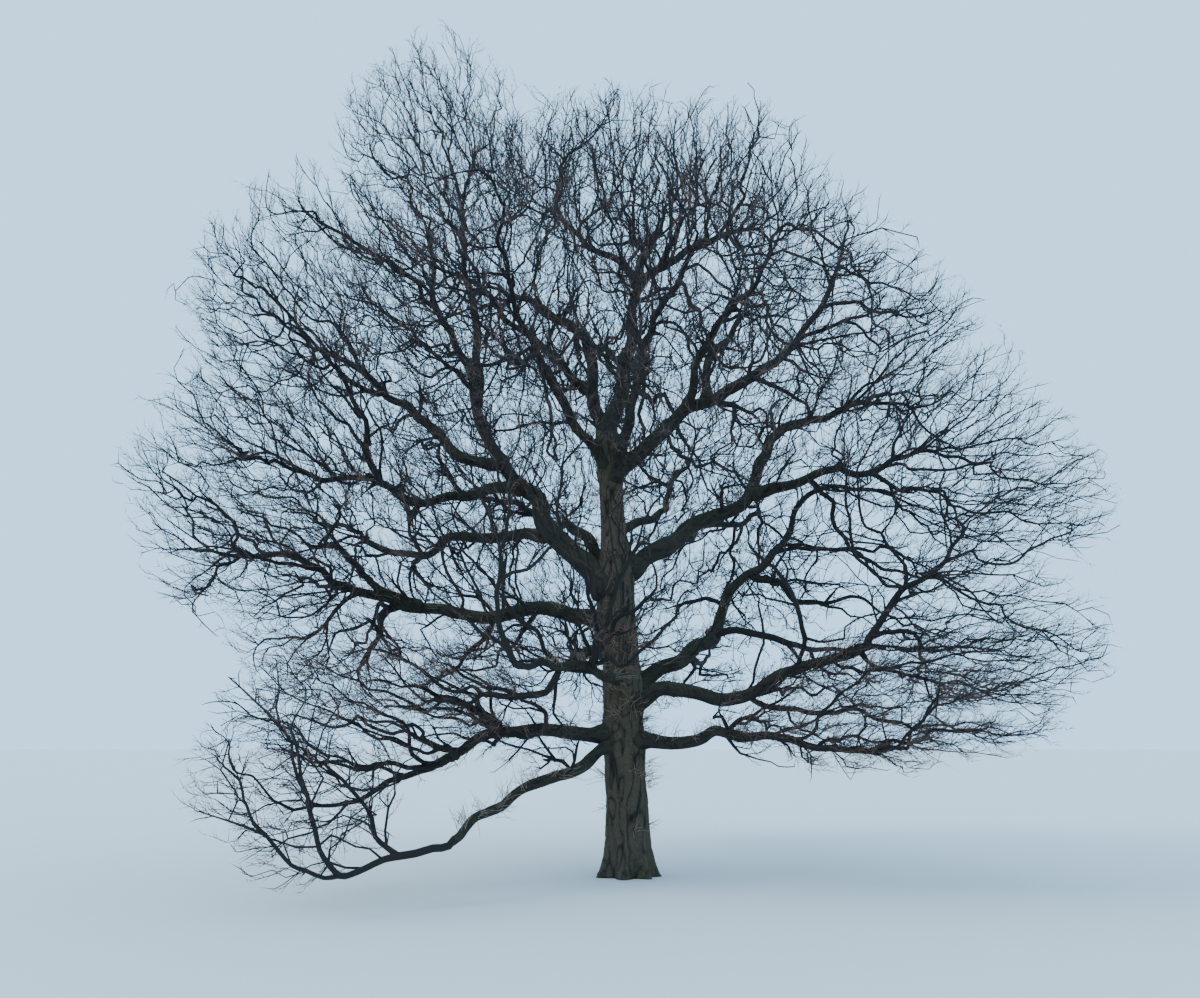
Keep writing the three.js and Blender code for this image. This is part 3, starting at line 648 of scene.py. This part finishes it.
def crown_tips():
    """Seeded points all through the crown, closer together towards its edge, each for the nearest bough."""
    rng = np.random.default_rng(TIPS_SEED)
    count = int(TIPS_PER_CUBIC_METRE * np.prod((REACH_HIGH - REACH_LOW) / METRE))
    points = rng.uniform(REACH_LOW, REACH_HIGH, (count, 3))
    points = points[in_reach(points) & ~in_bare_core(points)]
    points = points[rng.random(len(points)) < fullness(points, BRANCH_INNER_SHARE)]
    return points, nearest_bough(points)


def grow_branches(bough, tips):
    """The mass's branches, from its stem and from buds on the bough itself, which come first and aren't
    drawn. The last value is the number of the stem's foot among the joints."""
    places, parents, headings = stem_joints(bough)
    shares = np.arange(BOUGH_BUDS_FROM, bough["enters"], BOUGH_BUD_SPACING / bough["length"])
    buds = np.array([along(bough["line"], share) for share in shares])
    ways = np.array([along(bough["line"], share + 1 / PATH_STEPS) for share in shares]) - buds
    joints = (
        np.vstack([buds, places]),
        np.concatenate([np.full(len(buds), BUD), np.where(parents >= 0, parents + len(buds), FOOT)]),
        np.vstack([unit(ways), headings]),
    )

    def is_free(ends):
        return in_reach(ends) & ~in_bare_core(ends) & ~touches_limb(bough, ends)

    places, parents = grow(joints, tips, is_free)
    return places, parents, len(buds)


def thicken(parents, stem, stem_radius):
    """Thickness by the pipe rule: a branch is as thick as all that it carries. It is then scaled so that the
    stem is as thick as its bough's end, and more for what grows from the bough's own buds."""
    count = len(parents)
    carried = np.zeros(count)
    radii = np.zeros(count)
    for index in range(count - 1, -1, -1):
        own = carried[index] ** (1 / PIPE_POWER) if carried[index] > 0 else TIP_RADIUS
        radii[index] = own + BRANCH_TAPER
        if parents[index] >= 0:
            carried[parents[index]] += radii[index] ** PIPE_POWER
    scale = np.full(count, (stem_radius - TIP_RADIUS) / (radii[stem] - TIP_RADIUS))
    for index, parent in enumerate(parents):
        if parent >= 0 and (parents[parent] == BUD or scale[parent] > scale[stem]):
            scale[index] = BUD_THICKER * scale[stem]
    return TIP_RADIUS + (radii - TIP_RADIUS) * scale


def runs_of(parents, radii):
    """Runs of joints from a fork to a tip. A run goes on along its thickest branch."""
    children = {}
    for index, parent in enumerate(parents):
        if parent >= 0:
            children.setdefault(parent, []).append(index)
    runs = []
    starts = []
    for index, parent in enumerate(parents):
        if parent == FOOT:
            starts.append([index])
        if parent == BUD:
            starts.extend([index, child] for child in children.get(index, []))
    while starts:
        run = starts.pop()
        while run[-1] in children:
            following = sorted(children[run[-1]], key=lambda child: -radii[child])
            starts.extend([run[-1], child] for child in following[1:])
            run.append(following[0])
        if len(run) > 1:
            runs.append(run)
    return runs


def rounded(points, radii, longest):
    """A line through the same points with more of them, so that its bends are round."""
    padded = np.vstack([2 * points[0] - points[1], points, 2 * points[-1] - points[-2]])
    fine_points = [points[0]]
    fine_radii = [radii[0]]
    for index in range(len(points) - 1):
        before, start, end, after = padded[index:index + 4]
        pieces = max(1, int(np.linalg.norm(end - start) / longest + 0.5))
        for step in range(1, pieces + 1):
            t = step / pieces
            fine_points.append(0.5 * (
                2 * start + (end - before) * t
                + (2 * before - 5 * start + 4 * end - after) * t ** 2
                + (3 * start - before - 3 * end + after) * t ** 3
            ))
            fine_radii.append(radii[index] + (radii[index + 1] - radii[index]) * t)
    return np.array(fine_points), np.array(fine_radii)


class Surface:
    """Points and triangles that are gathered for one piece, in millimetres."""

    def __init__(self):
        self.points = []
        self.triangles = []
        self.relief = []
        self.count = 0

    def add(self, points, triangles, relief=None):
        self.points.append(points)
        self.triangles.append(triangles + self.count)
        self.relief.append(np.ones(len(points)) if relief is None else relief)
        self.count += len(points)


def fan(ring, tip):
    """Triangles from each side of a ring of points to one point."""
    return np.stack([ring, np.roll(ring, -1), np.full(len(ring), tip)], axis=-1)


def skin(rings, sides):
    """Triangles over rings of points, and from the last ring to the point that is counted after it."""
    a = np.arange((rings - 1) * sides).reshape(-1, sides)
    b = np.roll(a, -1, axis=1)
    tube = np.stack([a, b, b + sides, a, b + sides, a + sides], axis=-1).reshape(-1, 3)
    return np.vstack([tube, fan(np.arange((rings - 1) * sides, rings * sides), rings * sides)])


def ways_round(paths, angles):
    """The ways outwards from each point of each path, at each angle round it, without a twist."""
    forward = unit(np.gradient(paths, axis=1))
    level = np.abs(forward[:, 0, 2:3]) < NEARLY_UPRIGHT
    side = np.where(level, [0.0, 0.0, 1.0], [1.0, 0.0, 0.0])
    across = np.empty_like(paths)
    for index in range(paths.shape[1]):
        ahead = forward[:, index]
        side = unit(side - ahead * (side * ahead).sum(axis=1, keepdims=True))
        across[:, index] = side
    other = np.cross(forward, across)
    turn = np.cos(angles)[:, None, :, None] * across[:, :, None, :]
    return turn + np.sin(angles)[:, None, :, None] * other[:, :, None, :]


def even_angles(sides):
    return np.arange(sides) * (2 * np.pi / sides)


def add_tubes(surface, paths, radii, sides, rolls):
    """Pointed tubes along paths of equally many points. Their roots stay open inside the wood."""
    number, rings = radii.shape
    ways = ways_round(paths, even_angles(sides) + rolls[:, None])
    round_points = paths[:, :-1, None, :] + radii[:, :-1, None, None] * ways[:, :-1]
    points = np.concatenate([round_points.reshape(number, -1, 3), paths[:, -1:, :]], axis=1)
    offsets = np.arange(number) * points.shape[1]
    triangles = skin(rings - 1, sides) + offsets[:, None, None]
    surface.add(points.reshape(-1, 3), triangles.reshape(-1, 3))


def add_grid(surface, rings, relief, bottom):
    """A skin over rings of points, closed at the far end and, where asked, by a flat bottom."""
    count, sides = rings.shape[:2]
    triangles = [skin(count, sides)]
    points = [rings.reshape(-1, 3), rings[-1].mean(axis=0)[None]]
    shade = [relief.reshape(-1), relief[-1].mean()[None]]
    if bottom:
        triangles.append(fan(np.arange(sides)[::-1], count * sides + 1))
        points.append(rings[0].mean(axis=0)[None])
        shade.append(relief[0].mean()[None])
    surface.add(np.vstack(points), np.vstack(triangles), np.concatenate(shade))


def bark_relief(around, lengthwise, radius):
    """Oak bark: long upright plates between deep furrows that join and part. 1 is a ridge and 0 a furrow.
    around is the angle round the limb, and lengthwise the distance along it."""
    width = BARK_PLATE * (BARK_LEAST + (1 - BARK_LEAST) * np.minimum(1, radius / BARK_FULL_RADIUS))
    x = np.cos(around) * radius / width
    y = np.sin(around) * radius / width
    z = lengthwise / (width * BARK_PLATE_LENGTH)
    place = np.stack(np.broadcast_arrays(x, y, z), axis=-1)
    place = place + swing(place * BARK_BEND_SCALE + NOISE_SHIFT)[..., None] * BARK_BEND
    furrow = np.abs(swing(place)) * 2
    crack = np.abs(swing(place * BARK_CRACK_SCALE + 2 * NOISE_SHIFT)) * 2
    plate = np.minimum(1, furrow / BARK_FURROW_WIDTH) ** BARK_PLATE_ROUND
    whole = 1 - BARK_CRACK_DEPTH * (1 - np.minimum(1, crack / BARK_CRACK_WIDTH))
    smooth = 1 - BARK_ROUGH * (1 - noise(place * BARK_ROUGH_SCALE + 3 * NOISE_SHIFT))
    return np.clip(plate * whole * smooth, 0, 1)


def trunk_swell(bark_place):
    """How far the trunk swells out round the feet of its boughs."""
    swell = np.zeros(bark_place.shape[:-1])
    for bough in boughs:
        if bough["from"] == "trunk":
            leaves_at = bough["inside"] / bough["length"]
            thick = limb_radius(bough, leaves_at)
            apart = lengths((bark_place - along(bough["line"], leaves_at)) * SWELL_SHAPE)
            swell = np.maximum(swell, SWELL_SHARE * thick * np.exp(-(apart / (SWELL_REACH * thick)) ** 2))
    return swell


def add_trunk(surface):
    """The trunk with its lean, taper, root flare and bark, and a swelling where each bough leaves it."""
    heights = np.concatenate([
        np.arange(0, TRUNK_HEIGHT - TRUNK_DOME, TRUNK_RING_STEP),
        TRUNK_HEIGHT - TRUNK_DOME * np.cos(np.linspace(0, np.pi / 2, TRUNK_DOME_RINGS)),
    ])
    height, angle = np.meshgrid(heights, even_angles(TRUNK_SIDES), indexing="ij")
    plain = trunk_radius(height) + buttress(height, angle)
    dome = np.sqrt(np.clip(1 - ((height - TRUNK_HEIGHT + TRUNK_DOME) / TRUNK_DOME).clip(0) ** 2, 0, 1))
    plain = plain * (TRUNK_TOP_SHARE + (1 - TRUNK_TOP_SHARE) * dome)
    middle = np.stack([trunk_axis(level) for level in heights])[:, None]
    outward = np.stack([np.cos(angle), np.sin(angle), np.zeros_like(angle)], axis=-1)
    lump_place = np.stack([np.cos(angle), np.sin(angle), height / TRUNK_LUMP_LENGTH], axis=-1)
    lump = TRUNK_LUMPS * swing(lump_place * TRUNK_LUMPS_ROUND)
    swell = trunk_swell(middle + outward * plain[..., None])
    ridge = bark_relief(angle, height + BARK_SLANT * np.sin(2 * angle), plain)
    depth = BARK_DEPTH * np.minimum(1, plain / BARK_FULL_RADIUS)
    settled = np.minimum(1, height / BARK_STARTS_OVER)
    radius = plain + lump + swell - depth * (1 - ridge) * settled
    add_grid(surface, middle + outward * radius[..., None], ridge, True)


def kinks(distance, own_noise):
    """How far a bough strays to the side along its line, and not at all at its two ends."""
    layers = [np.full(len(distance), NOISE_SHIFT * axis) for axis in (1, 2, 3)]
    aside = [swing(np.stack([distance / BOUGH_KINK_LENGTH, own_noise, layer], axis=-1)) for layer in layers]
    ends = np.minimum(distance, distance[-1] - distance) / BOUGH_KINKS_FADE
    return np.stack(aside, axis=-1) * BOUGH_KINKS * np.clip(ends, 0, 1)[:, None]


def add_bough(surface, bough):
    """A bough's own mesh, from inside its parent to where its mass begins, with the collar at its foot."""
    line, shares = rounded(bough["line"], np.linspace(0, 1, PATH_STEPS + 1), BOUGH_RING_STEP)
    line = line[shares <= bough["enters"] + BOUGH_OVERRUN]
    shares = shares[:len(line)]
    distance = shares * bough["length"]
    own_noise = np.full(len(line), BOUGH_NOISE_SHIFT * bough["order"])
    line = line + kinks(distance, own_noise)
    flare = 1 + COLLAR_FLARE * np.exp(-((distance - bough["inside"]) / COLLAR_FADE) ** 2)
    hidden = np.minimum(1, ROOT_SHARE + (1 - ROOT_SHARE) * distance / bough["inside"])
    lumps = swing(np.stack([distance / BOUGH_LUMP_LENGTH, own_noise, distance * 0], axis=-1))
    radius = limb_radius(bough, shares) * flare * hidden * (1 + BOUGH_LUMPS * lumps)
    angles = even_angles(int(np.clip(BOUGH_SIDES_PER_METRE * bough["girth"][0] / METRE, *BOUGH_SIDES)))
    lengthwise = distance + BOUGH_BARK_SHIFT * bough["order"]
    ridge = bark_relief(angles, lengthwise[:, None], radius[:, None])
    depth = BARK_DEPTH * np.minimum(1, radius / BARK_FULL_RADIUS)
    bark = radius[:, None] - depth[:, None] * (1 - ridge)
    rings = line[:, None] + ways_round(line[None], angles[None])[0] * bark[..., None]
    add_grid(surface, rings, ridge, False)


def crooked(places, parents, radii, rng):
    """Joints moved a little to the side, as oak branches are never straight. The stem's foot stays."""
    fixed = (parents < 0) | np.isin(parents, np.nonzero(parents == FOOT)[0])
    amount = np.where(fixed, 0, np.where(radii > SMOOTH_OVER_RADIUS, SMOOTH_CROOKED, CROOKED))
    return places + rng.normal(size=places.shape) * amount[:, None]


def add_branches(surface, bough, places, parents, radii):
    """The drawn branches of a mass: round lines, with more sides where they are thick."""
    shapes = {}
    for order, run in enumerate(runs_of(parents, radii)):
        points = places[run]
        thick = radii[run].copy()
        if parents[run[0]] == FOOT:
            points = np.vstack([points[0] - bough["outward"] * STEM_FOOT, points])
            thick = np.concatenate([thick[:1], thick])
        else:
            thick[0] = min(thick[0], thick[1] * SIDE_BRANCH_MOST)
        points, thick = rounded(points, thick, SMOOTH_STEP if thick[0] > SMOOTH_OVER_RADIUS else BRANCH_STEP)
        sides = next(sides for over, sides in BRANCH_SIDES if thick[0] > over)
        shapes.setdefault((sides, len(points)), []).append((points, thick, order))
    for (sides, _), rows in shapes.items():
        paths, thick, orders = zip(*rows)
        add_tubes(surface, np.array(paths), np.array(thick), sides, np.array(orders, float))


def some_way_across(forward, rng):
    return unit(np.cross(forward, rng.normal(size=forward.shape)))


def side_twigs(starts, ends, thick, spacing, rng):
    """Bent twigs that stand off stretches of branch, and lean outwards and up, as paths of three points."""
    span = ends - starts
    more = 1 + THICKET_MORE_TWIGS * (level_in(THICKETS, starts)[0] < 1)
    count = (lengths(span) / spacing * more + rng.random(len(span))).astype(int)
    source = np.repeat(np.arange(len(span)), count)
    foot = starts[source] + span[source] * rng.random(len(source))[:, None]
    forward = unit(span[source])
    across = some_way_across(forward, rng)
    angle = np.deg2rad(rng.normal(TWIG_ANGLE, TWIG_ANGLE_SPREAD, len(source)))[:, None]
    lean = unit(foot - GROWTH_HEART) * TWIG_OUTWARD + [0, 0, TWIG_LIFT]
    heading = unit(forward * np.cos(angle) + across * np.sin(angle) + lean)
    half = rng.uniform(*TWIG_LENGTHS, len(source))[:, None] / 2
    bend = some_way_across(heading, rng) * TWIG_ZIGZAG
    knee = foot + heading * (half + thick[source][:, None])
    end = knee + unit(heading + bend + [0, 0, TWIG_END_LIFT]) * half
    paths = np.stack([foot, knee, end], axis=1)
    chance = rng.random(len(foot)) < fullness(foot, TWIG_INNER_SHARE)
    return paths[in_reach(knee) & in_reach(end) & ~in_bare_core(end) & chance]


def twigs_of(bough, places, parents, radii, rng):
    """The side twigs of a mass's thinner branches and of its bough's bare part."""
    thin = np.nonzero((parents >= 0) & (radii < TWIGS_UNDER_RADIUS))[0]
    on_branches = side_twigs(places[parents[thin]], places[thin], radii[thin], TWIG_SPACING, rng)
    shares = np.linspace(BOUGH_TWIGS_FROM, bough["enters"], BOUGH_TWIG_STRETCHES + 1)
    points = np.array([along(bough["line"], share) for share in shares])
    thick = limb_radius(bough, shares[:-1])
    on_bough = side_twigs(points[:-1], points[1:], thick, BOUGH_TWIG_SPACING, rng)
    return np.concatenate([on_branches, on_bough])


def spurs_on(paths, rng):
    """Short spurs along the twigs and a fan at their ends."""
    spurs = []
    for stretch, share in SPUR_PLACES:
        start, end = paths[:, stretch], paths[:, stretch + 1]
        here = start + (end - start) * share
        forward = unit(end - start)
        heading = unit(forward + some_way_across(forward, rng) * SPUR_SPREAD + [0, 0, SPUR_LIFT])
        reach = rng.uniform(*SPUR_LENGTHS, len(paths))[:, None]
        spurs.append(np.stack([here, here + heading * reach], axis=1))
    spurs = np.concatenate(spurs)
    return spurs[in_reach(spurs[:, 1])]


def add_shoots(surface, paths, radii, rng):
    """Thin pointed tubes, each turned in its own way."""
    radii = np.broadcast_to(radii, paths.shape[:2])
    add_tubes(surface, paths, radii, TWIG_SIDES, rng.uniform(0, TWIG_ROLL, len(paths)))


def add_twigs(surface, paths, rng):
    add_shoots(surface, paths, TWIG_RADII * rng.uniform(*TWIG_THICKNESS, (len(paths), 1)), rng)
    add_shoots(surface, spurs_on(paths, rng), SPUR_RADII, rng)


def trunk_tuft_places(rng):
    """Where tufts sprout on the trunk, most of all low down and at the fork, and the way outwards there."""
    for height, count in TRUNK_TUFTS:
        for _ in range(count):
            level = height + rng.normal(0, TRUNK_TUFT_STRAY)
            angle = rng.uniform(0, 2 * np.pi)
            away = np.array([np.cos(angle), np.sin(angle), 0.0])
            yield trunk_axis(level) + away * trunk_radius(level) * TRUNK_TUFT_FOOT, away


def bough_tuft_places(rng):
    """Where tufts sprout along the bare parts of the boughs, and the way upwards and aside there."""
    for bough in boughs:
        each_metre = BOUGH_TUFTS.get(bough["name"], TUFTS_PER_METRE)
        count = int(bough["length"] * bough["enters"] / METRE * each_metre)
        for share in rng.uniform(BOUGH_TUFTS_FROM, bough["enters"], count):
            aside = rng.normal(0, BOUGH_TUFT_ASIDE, 2)
            away = unit(np.array([*aside, abs(rng.normal(BOUGH_TUFT_UP, BOUGH_TUFT_UP))]))
            yield along(bough["line"], share) + away * limb_radius(bough, share) * BOUGH_TUFT_FOOT, away


def tuft_shoots(rng):
    """The thin upright shoots of all tufts that sprout from old bark, as paths of four points."""
    places, outward = zip(*trunk_tuft_places(rng), *bough_tuft_places(rng))
    number = len(places) * TUFT_SHOOTS
    foot = np.repeat(places, TUFT_SHOOTS, axis=0) + rng.normal(0, TUFT_WIDTH, (number, 3))
    away = np.repeat(outward, TUFT_SHOOTS, axis=0) + rng.normal(0, TUFT_SPREAD, (number, 3))
    reach = rng.uniform(*TUFT_LENGTHS, number)[:, None]
    bend = rng.normal(0, TUFT_BEND, (number, 3))
    path = [foot]
    for side, share, lift in zip((0, 1, -1), TUFT_STRETCHES, TUFT_LIFTS):
        path.append(path[-1] + unit(away + side * bend + [0, 0, lift]) * reach * share)
    return np.stack(path, axis=1)


def new_object(name, data):
    made = bpy.data.objects.new(name, data)
    bpy.context.scene.collection.objects.link(made)
    return made


def make_piece(name, surface, material, nodes):
    """A gathered surface as one mesh object in metres, with its material and the nodes it stands for."""
    points = np.vstack(surface.points) / METRE
    triangles = np.vstack(surface.triangles)
    mesh = bpy.data.meshes.new(name)
    mesh.from_pydata(points.tolist(), [], triangles.tolist(), shade_flat=False)
    relief = mesh.attributes.new("relief", "FLOAT", "POINT")
    relief.data.foreach_set("value", np.concatenate(surface.relief).astype(np.float32))
    mesh.materials.append(material)
    piece = new_object(name, mesh)
    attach(piece, "root")
    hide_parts(*nodes)


def new_material(name, color, roughness):
    """A plain material, with its graph of nodes and its shader."""
    material = bpy.data.materials.new(name)
    material.use_nodes = True
    shader = material.node_tree.nodes["Principled BSDF"]
    shader.inputs["Base Color"].default_value = (*color, 1)
    shader.inputs["Roughness"].default_value = roughness
    shader.inputs["Specular IOR Level"].default_value = SPECULAR
    return material, material.node_tree, shader


def add_node(graph, kind, inputs, **settings):
    """A node of a material. Each input is a value, or the output of another node that is linked to it."""
    node = graph.nodes.new(f"ShaderNode{kind}")
    for name, value in settings.items():
        setattr(node, name, value)
    for socket, value in inputs.items():
        if isinstance(value, bpy.types.NodeSocket):
            graph.links.new(value, node.inputs[socket])
        else:
            node.inputs[socket].default_value = value
    return node.outputs


def noise_node(graph, scale, detail, stretch):
    """Noise that is fixed to the wood, drawn out along the axes as asked."""
    place = add_node(graph, "TexCoord", {})["Object"]
    drawn_out = add_node(graph, "Mapping", {"Vector": place, "Scale": stretch})["Vector"]
    return add_node(graph, "TexNoise", {"Vector": drawn_out, "Scale": scale, "Detail": detail})["Fac"]


def ramp_node(graph, value, stops, colors):
    output = add_node(graph, "ValToRGB", {"Fac": value})["Color"]
    points = output.node.color_ramp.elements
    for stop in stops[1:-1]:
        points.new(stop)
    for point, stop, color in zip(points, stops, colors):
        point.position = stop
        point.color = (*color, 1)
    return output


def mix_node(graph, share, *colors):
    inputs = {"Factor": share, **dict(zip(MIX_NODE_COLORS, colors))}
    return add_node(graph, "Mix", inputs, data_type="RGBA")[MIX_NODE_RESULT]


def math_node(graph, operation, first, second):
    return add_node(graph, "Math", {0: first, 1: second}, operation=operation, use_clamp=True)["Value"]


def add_bump(graph, shader, height, strength, distance):
    inputs = {"Height": height, "Strength": strength, "Distance": distance}
    graph.links.new(add_node(graph, "Bump", inputs)["Normal"], shader.inputs["Normal"])


def algae_share(graph, most):
    """How green the bark is: in patches and streaks, and more on what faces up."""
    facing = add_node(graph, "NewGeometry", {})["Normal"]
    upwards = add_node(graph, "SeparateXYZ", {"Vector": facing})["Z"]
    upwards = math_node(graph, "MULTIPLY", upwards, ALGAE_FACING_UP)
    share = math_node(graph, "ADD", noise_node(graph, *ALGAE_PATCHES), upwards)
    share = math_node(graph, "MULTIPLY", share, noise_node(graph, *ALGAE_STREAKS))
    return ramp_node(graph, share, ALGAE_STOPS, [(0, 0, 0), (most, most, most)])


def bark_material(name, plate, most_algae):
    """Dark furrows, partly their own colour and partly painted shade, grey-brown plates with pale ridges,
    and green algae.
    """
    material, graph, shader = new_material(name, plate, BARK_ROUGHNESS)
    relief = add_node(graph, "Attribute", {}, attribute_name="relief")["Fac"]
    grain = noise_node(graph, *BARK_GRAIN)
    height = math_node(graph, "MULTIPLY", relief, grain)
    height = math_node(graph, "MULTIPLY", height, RELIEF_CONTRAST)
    pale = [PALE_RIDGE * part for part in plate]
    # Low relief, deep in the furrows, goes near-black: partly the bark's own colour, partly painted shade.
    wood = ramp_node(graph, height, RELIEF_STOPS, [FURROW_COLOR_WITH_PAINTED_SHADE, plate, pale])
    dark_algae = [ALGAE_DARKER * part for part in ALGAE_COLOR]
    green = ramp_node(graph, grain, ALGAE_GRAIN_STOPS, [dark_algae, ALGAE_COLOR])
    color = mix_node(graph, algae_share(graph, most_algae), wood, green)
    graph.links.new(color, shader.inputs["Base Color"])
    add_bump(graph, shader, grain, *BARK_BUMP)
    return material


def twig_material(name, color):
    """One plain colour, with a fine grain in how rough it is."""
    material, graph, shader = new_material(name, color, TWIG_ROUGHNESS)
    grain = noise_node(graph, *TWIG_GRAIN)
    low, high = TWIG_ROUGHNESS_RANGE
    roughness = add_node(graph, "MapRange", {"Value": grain, "To Min": low, "To Max": high})["Result"]
    graph.links.new(roughness, shader.inputs["Roughness"])
    add_bump(graph, shader, grain, *TWIG_BUMP)
    return material


def add_floor():
    mesh = bpy.data.meshes.new("floor")
    corners = [(-1, -1), (1, -1), (1, 1), (-1, 1)]
    mesh.from_pydata([(x * FLOOR_REACH, y * FLOOR_REACH, 0) for x, y in corners], [], [(0, 1, 2, 3)])
    material, _, _ = new_material("floor", FLOOR_COLOR, FLOOR_ROUGHNESS)
    mesh.materials.append(material)
    floor = new_object("floor", mesh)


def add_light():
    """A pale sky all round and a wide soft sun."""
    world = bpy.data.worlds.new("sky")
    world.use_nodes = True
    background = world.node_tree.nodes["Background"]
    background.inputs["Color"].default_value = (*SKY_COLOR, 1)
    background.inputs["Strength"].default_value = SKY_STRENGTH
    bpy.context.scene.world = world
    sun = bpy.data.lights.new("soft_sun", "SUN")
    sun.energy = SUN_STRENGTH
    sun.angle = math.radians(SUN_WIDTH)
    lamp = new_object("soft_sun", sun)
    lamp.rotation_euler = [math.radians(angle) for angle in SUN_TURN]


def add_camera():
    """A camera where the photograph was taken from."""
    lens = bpy.data.cameras.new("camera")
    lens.sensor_width = CAMERA_SENSOR
    lens.lens = CAMERA_LENS
    lens.clip_end = CAMERA_SEES_TO
    camera = new_object("camera", lens)
    camera.location = CAMERA_PLACE
    camera.rotation_euler = (math.radians(90 + CAMERA_PITCH), 0, 0)
    bpy.context.scene.camera = camera


def make_limbs():
    """The trunk and the boughs with the relief of their bark."""
    trunk = Surface()
    add_trunk(trunk)
    bark = bark_material("oak_bark", PLATE_COLOR, TRUNK_ALGAE)
    make_piece("oak_trunk", trunk, bark, ["trunk"])
    wood = Surface()
    for bough in boughs:
        add_bough(wood, bough)
    bark = bark_material("oak_bough_bark", BOUGH_COLOR, BOUGH_ALGAE)
    make_piece("oak_boughs", wood, bark, [f"bough_{bough['name']}" for bough in boughs])


def make_masses():
    """The branches of all masses, joined by side, and their twigs, joined by side and by colour."""
    tips, cells = crown_tips()
    branches = defaultdict(Surface)
    sprays = defaultdict(Surface)
    for bough in boughs:
        rng = np.random.default_rng(MASS_SEED + bough["order"])
        places, parents, foot = grow_branches(bough, tips[cells == bough["order"]])
        radii = thicken(parents, foot, STEM_SHARE * limb_radius(bough, bough["enters"]))
        places = crooked(places, parents, radii, rng)
        side = side_of(bough)
        add_branches(branches[side], bough, places, parents, radii)
        twigs = twigs_of(bough, places, parents, radii, rng)
        shade = rng.random(len(twigs)) + THICKET_REDDER * (level_in(THICKETS, twigs[:, 0])[0] < 1)
        color = np.searchsorted(np.cumsum(TWIG_SHARES[:-1]), shade)
        for index in range(len(TWIG_COLORS)):
            add_twigs(sprays[side, index], twigs[color == index], rng)
    branch_bark = twig_material("oak_branch_bark", BRANCH_COLOR)
    twig_bark = [twig_material(f"oak_twig_{index}", color) for index, color in enumerate(TWIG_COLORS)]
    for side, surface in branches.items():
        masses = [f"twigs_{bough['name']}" for bough in boughs if side_of(bough) == side]
        make_piece(f"oak_branches_{side}", surface, branch_bark, masses)
        for index, material in enumerate(twig_bark):
            make_piece(f"oak_twigs_{side}_{index}", sprays[side, index], material, masses)


def make_tufts():
    tufts = Surface()
    rng = np.random.default_rng(TUFT_SEED)
    add_shoots(tufts, tuft_shoots(rng), TUFT_RADII, rng)
    make_piece("oak_tufts", tufts, twig_material("oak_tuft_bark", TUFT_COLOR), [])


add_floor()
add_light()
add_camera()
make_limbs()
make_masses()
make_tufts()
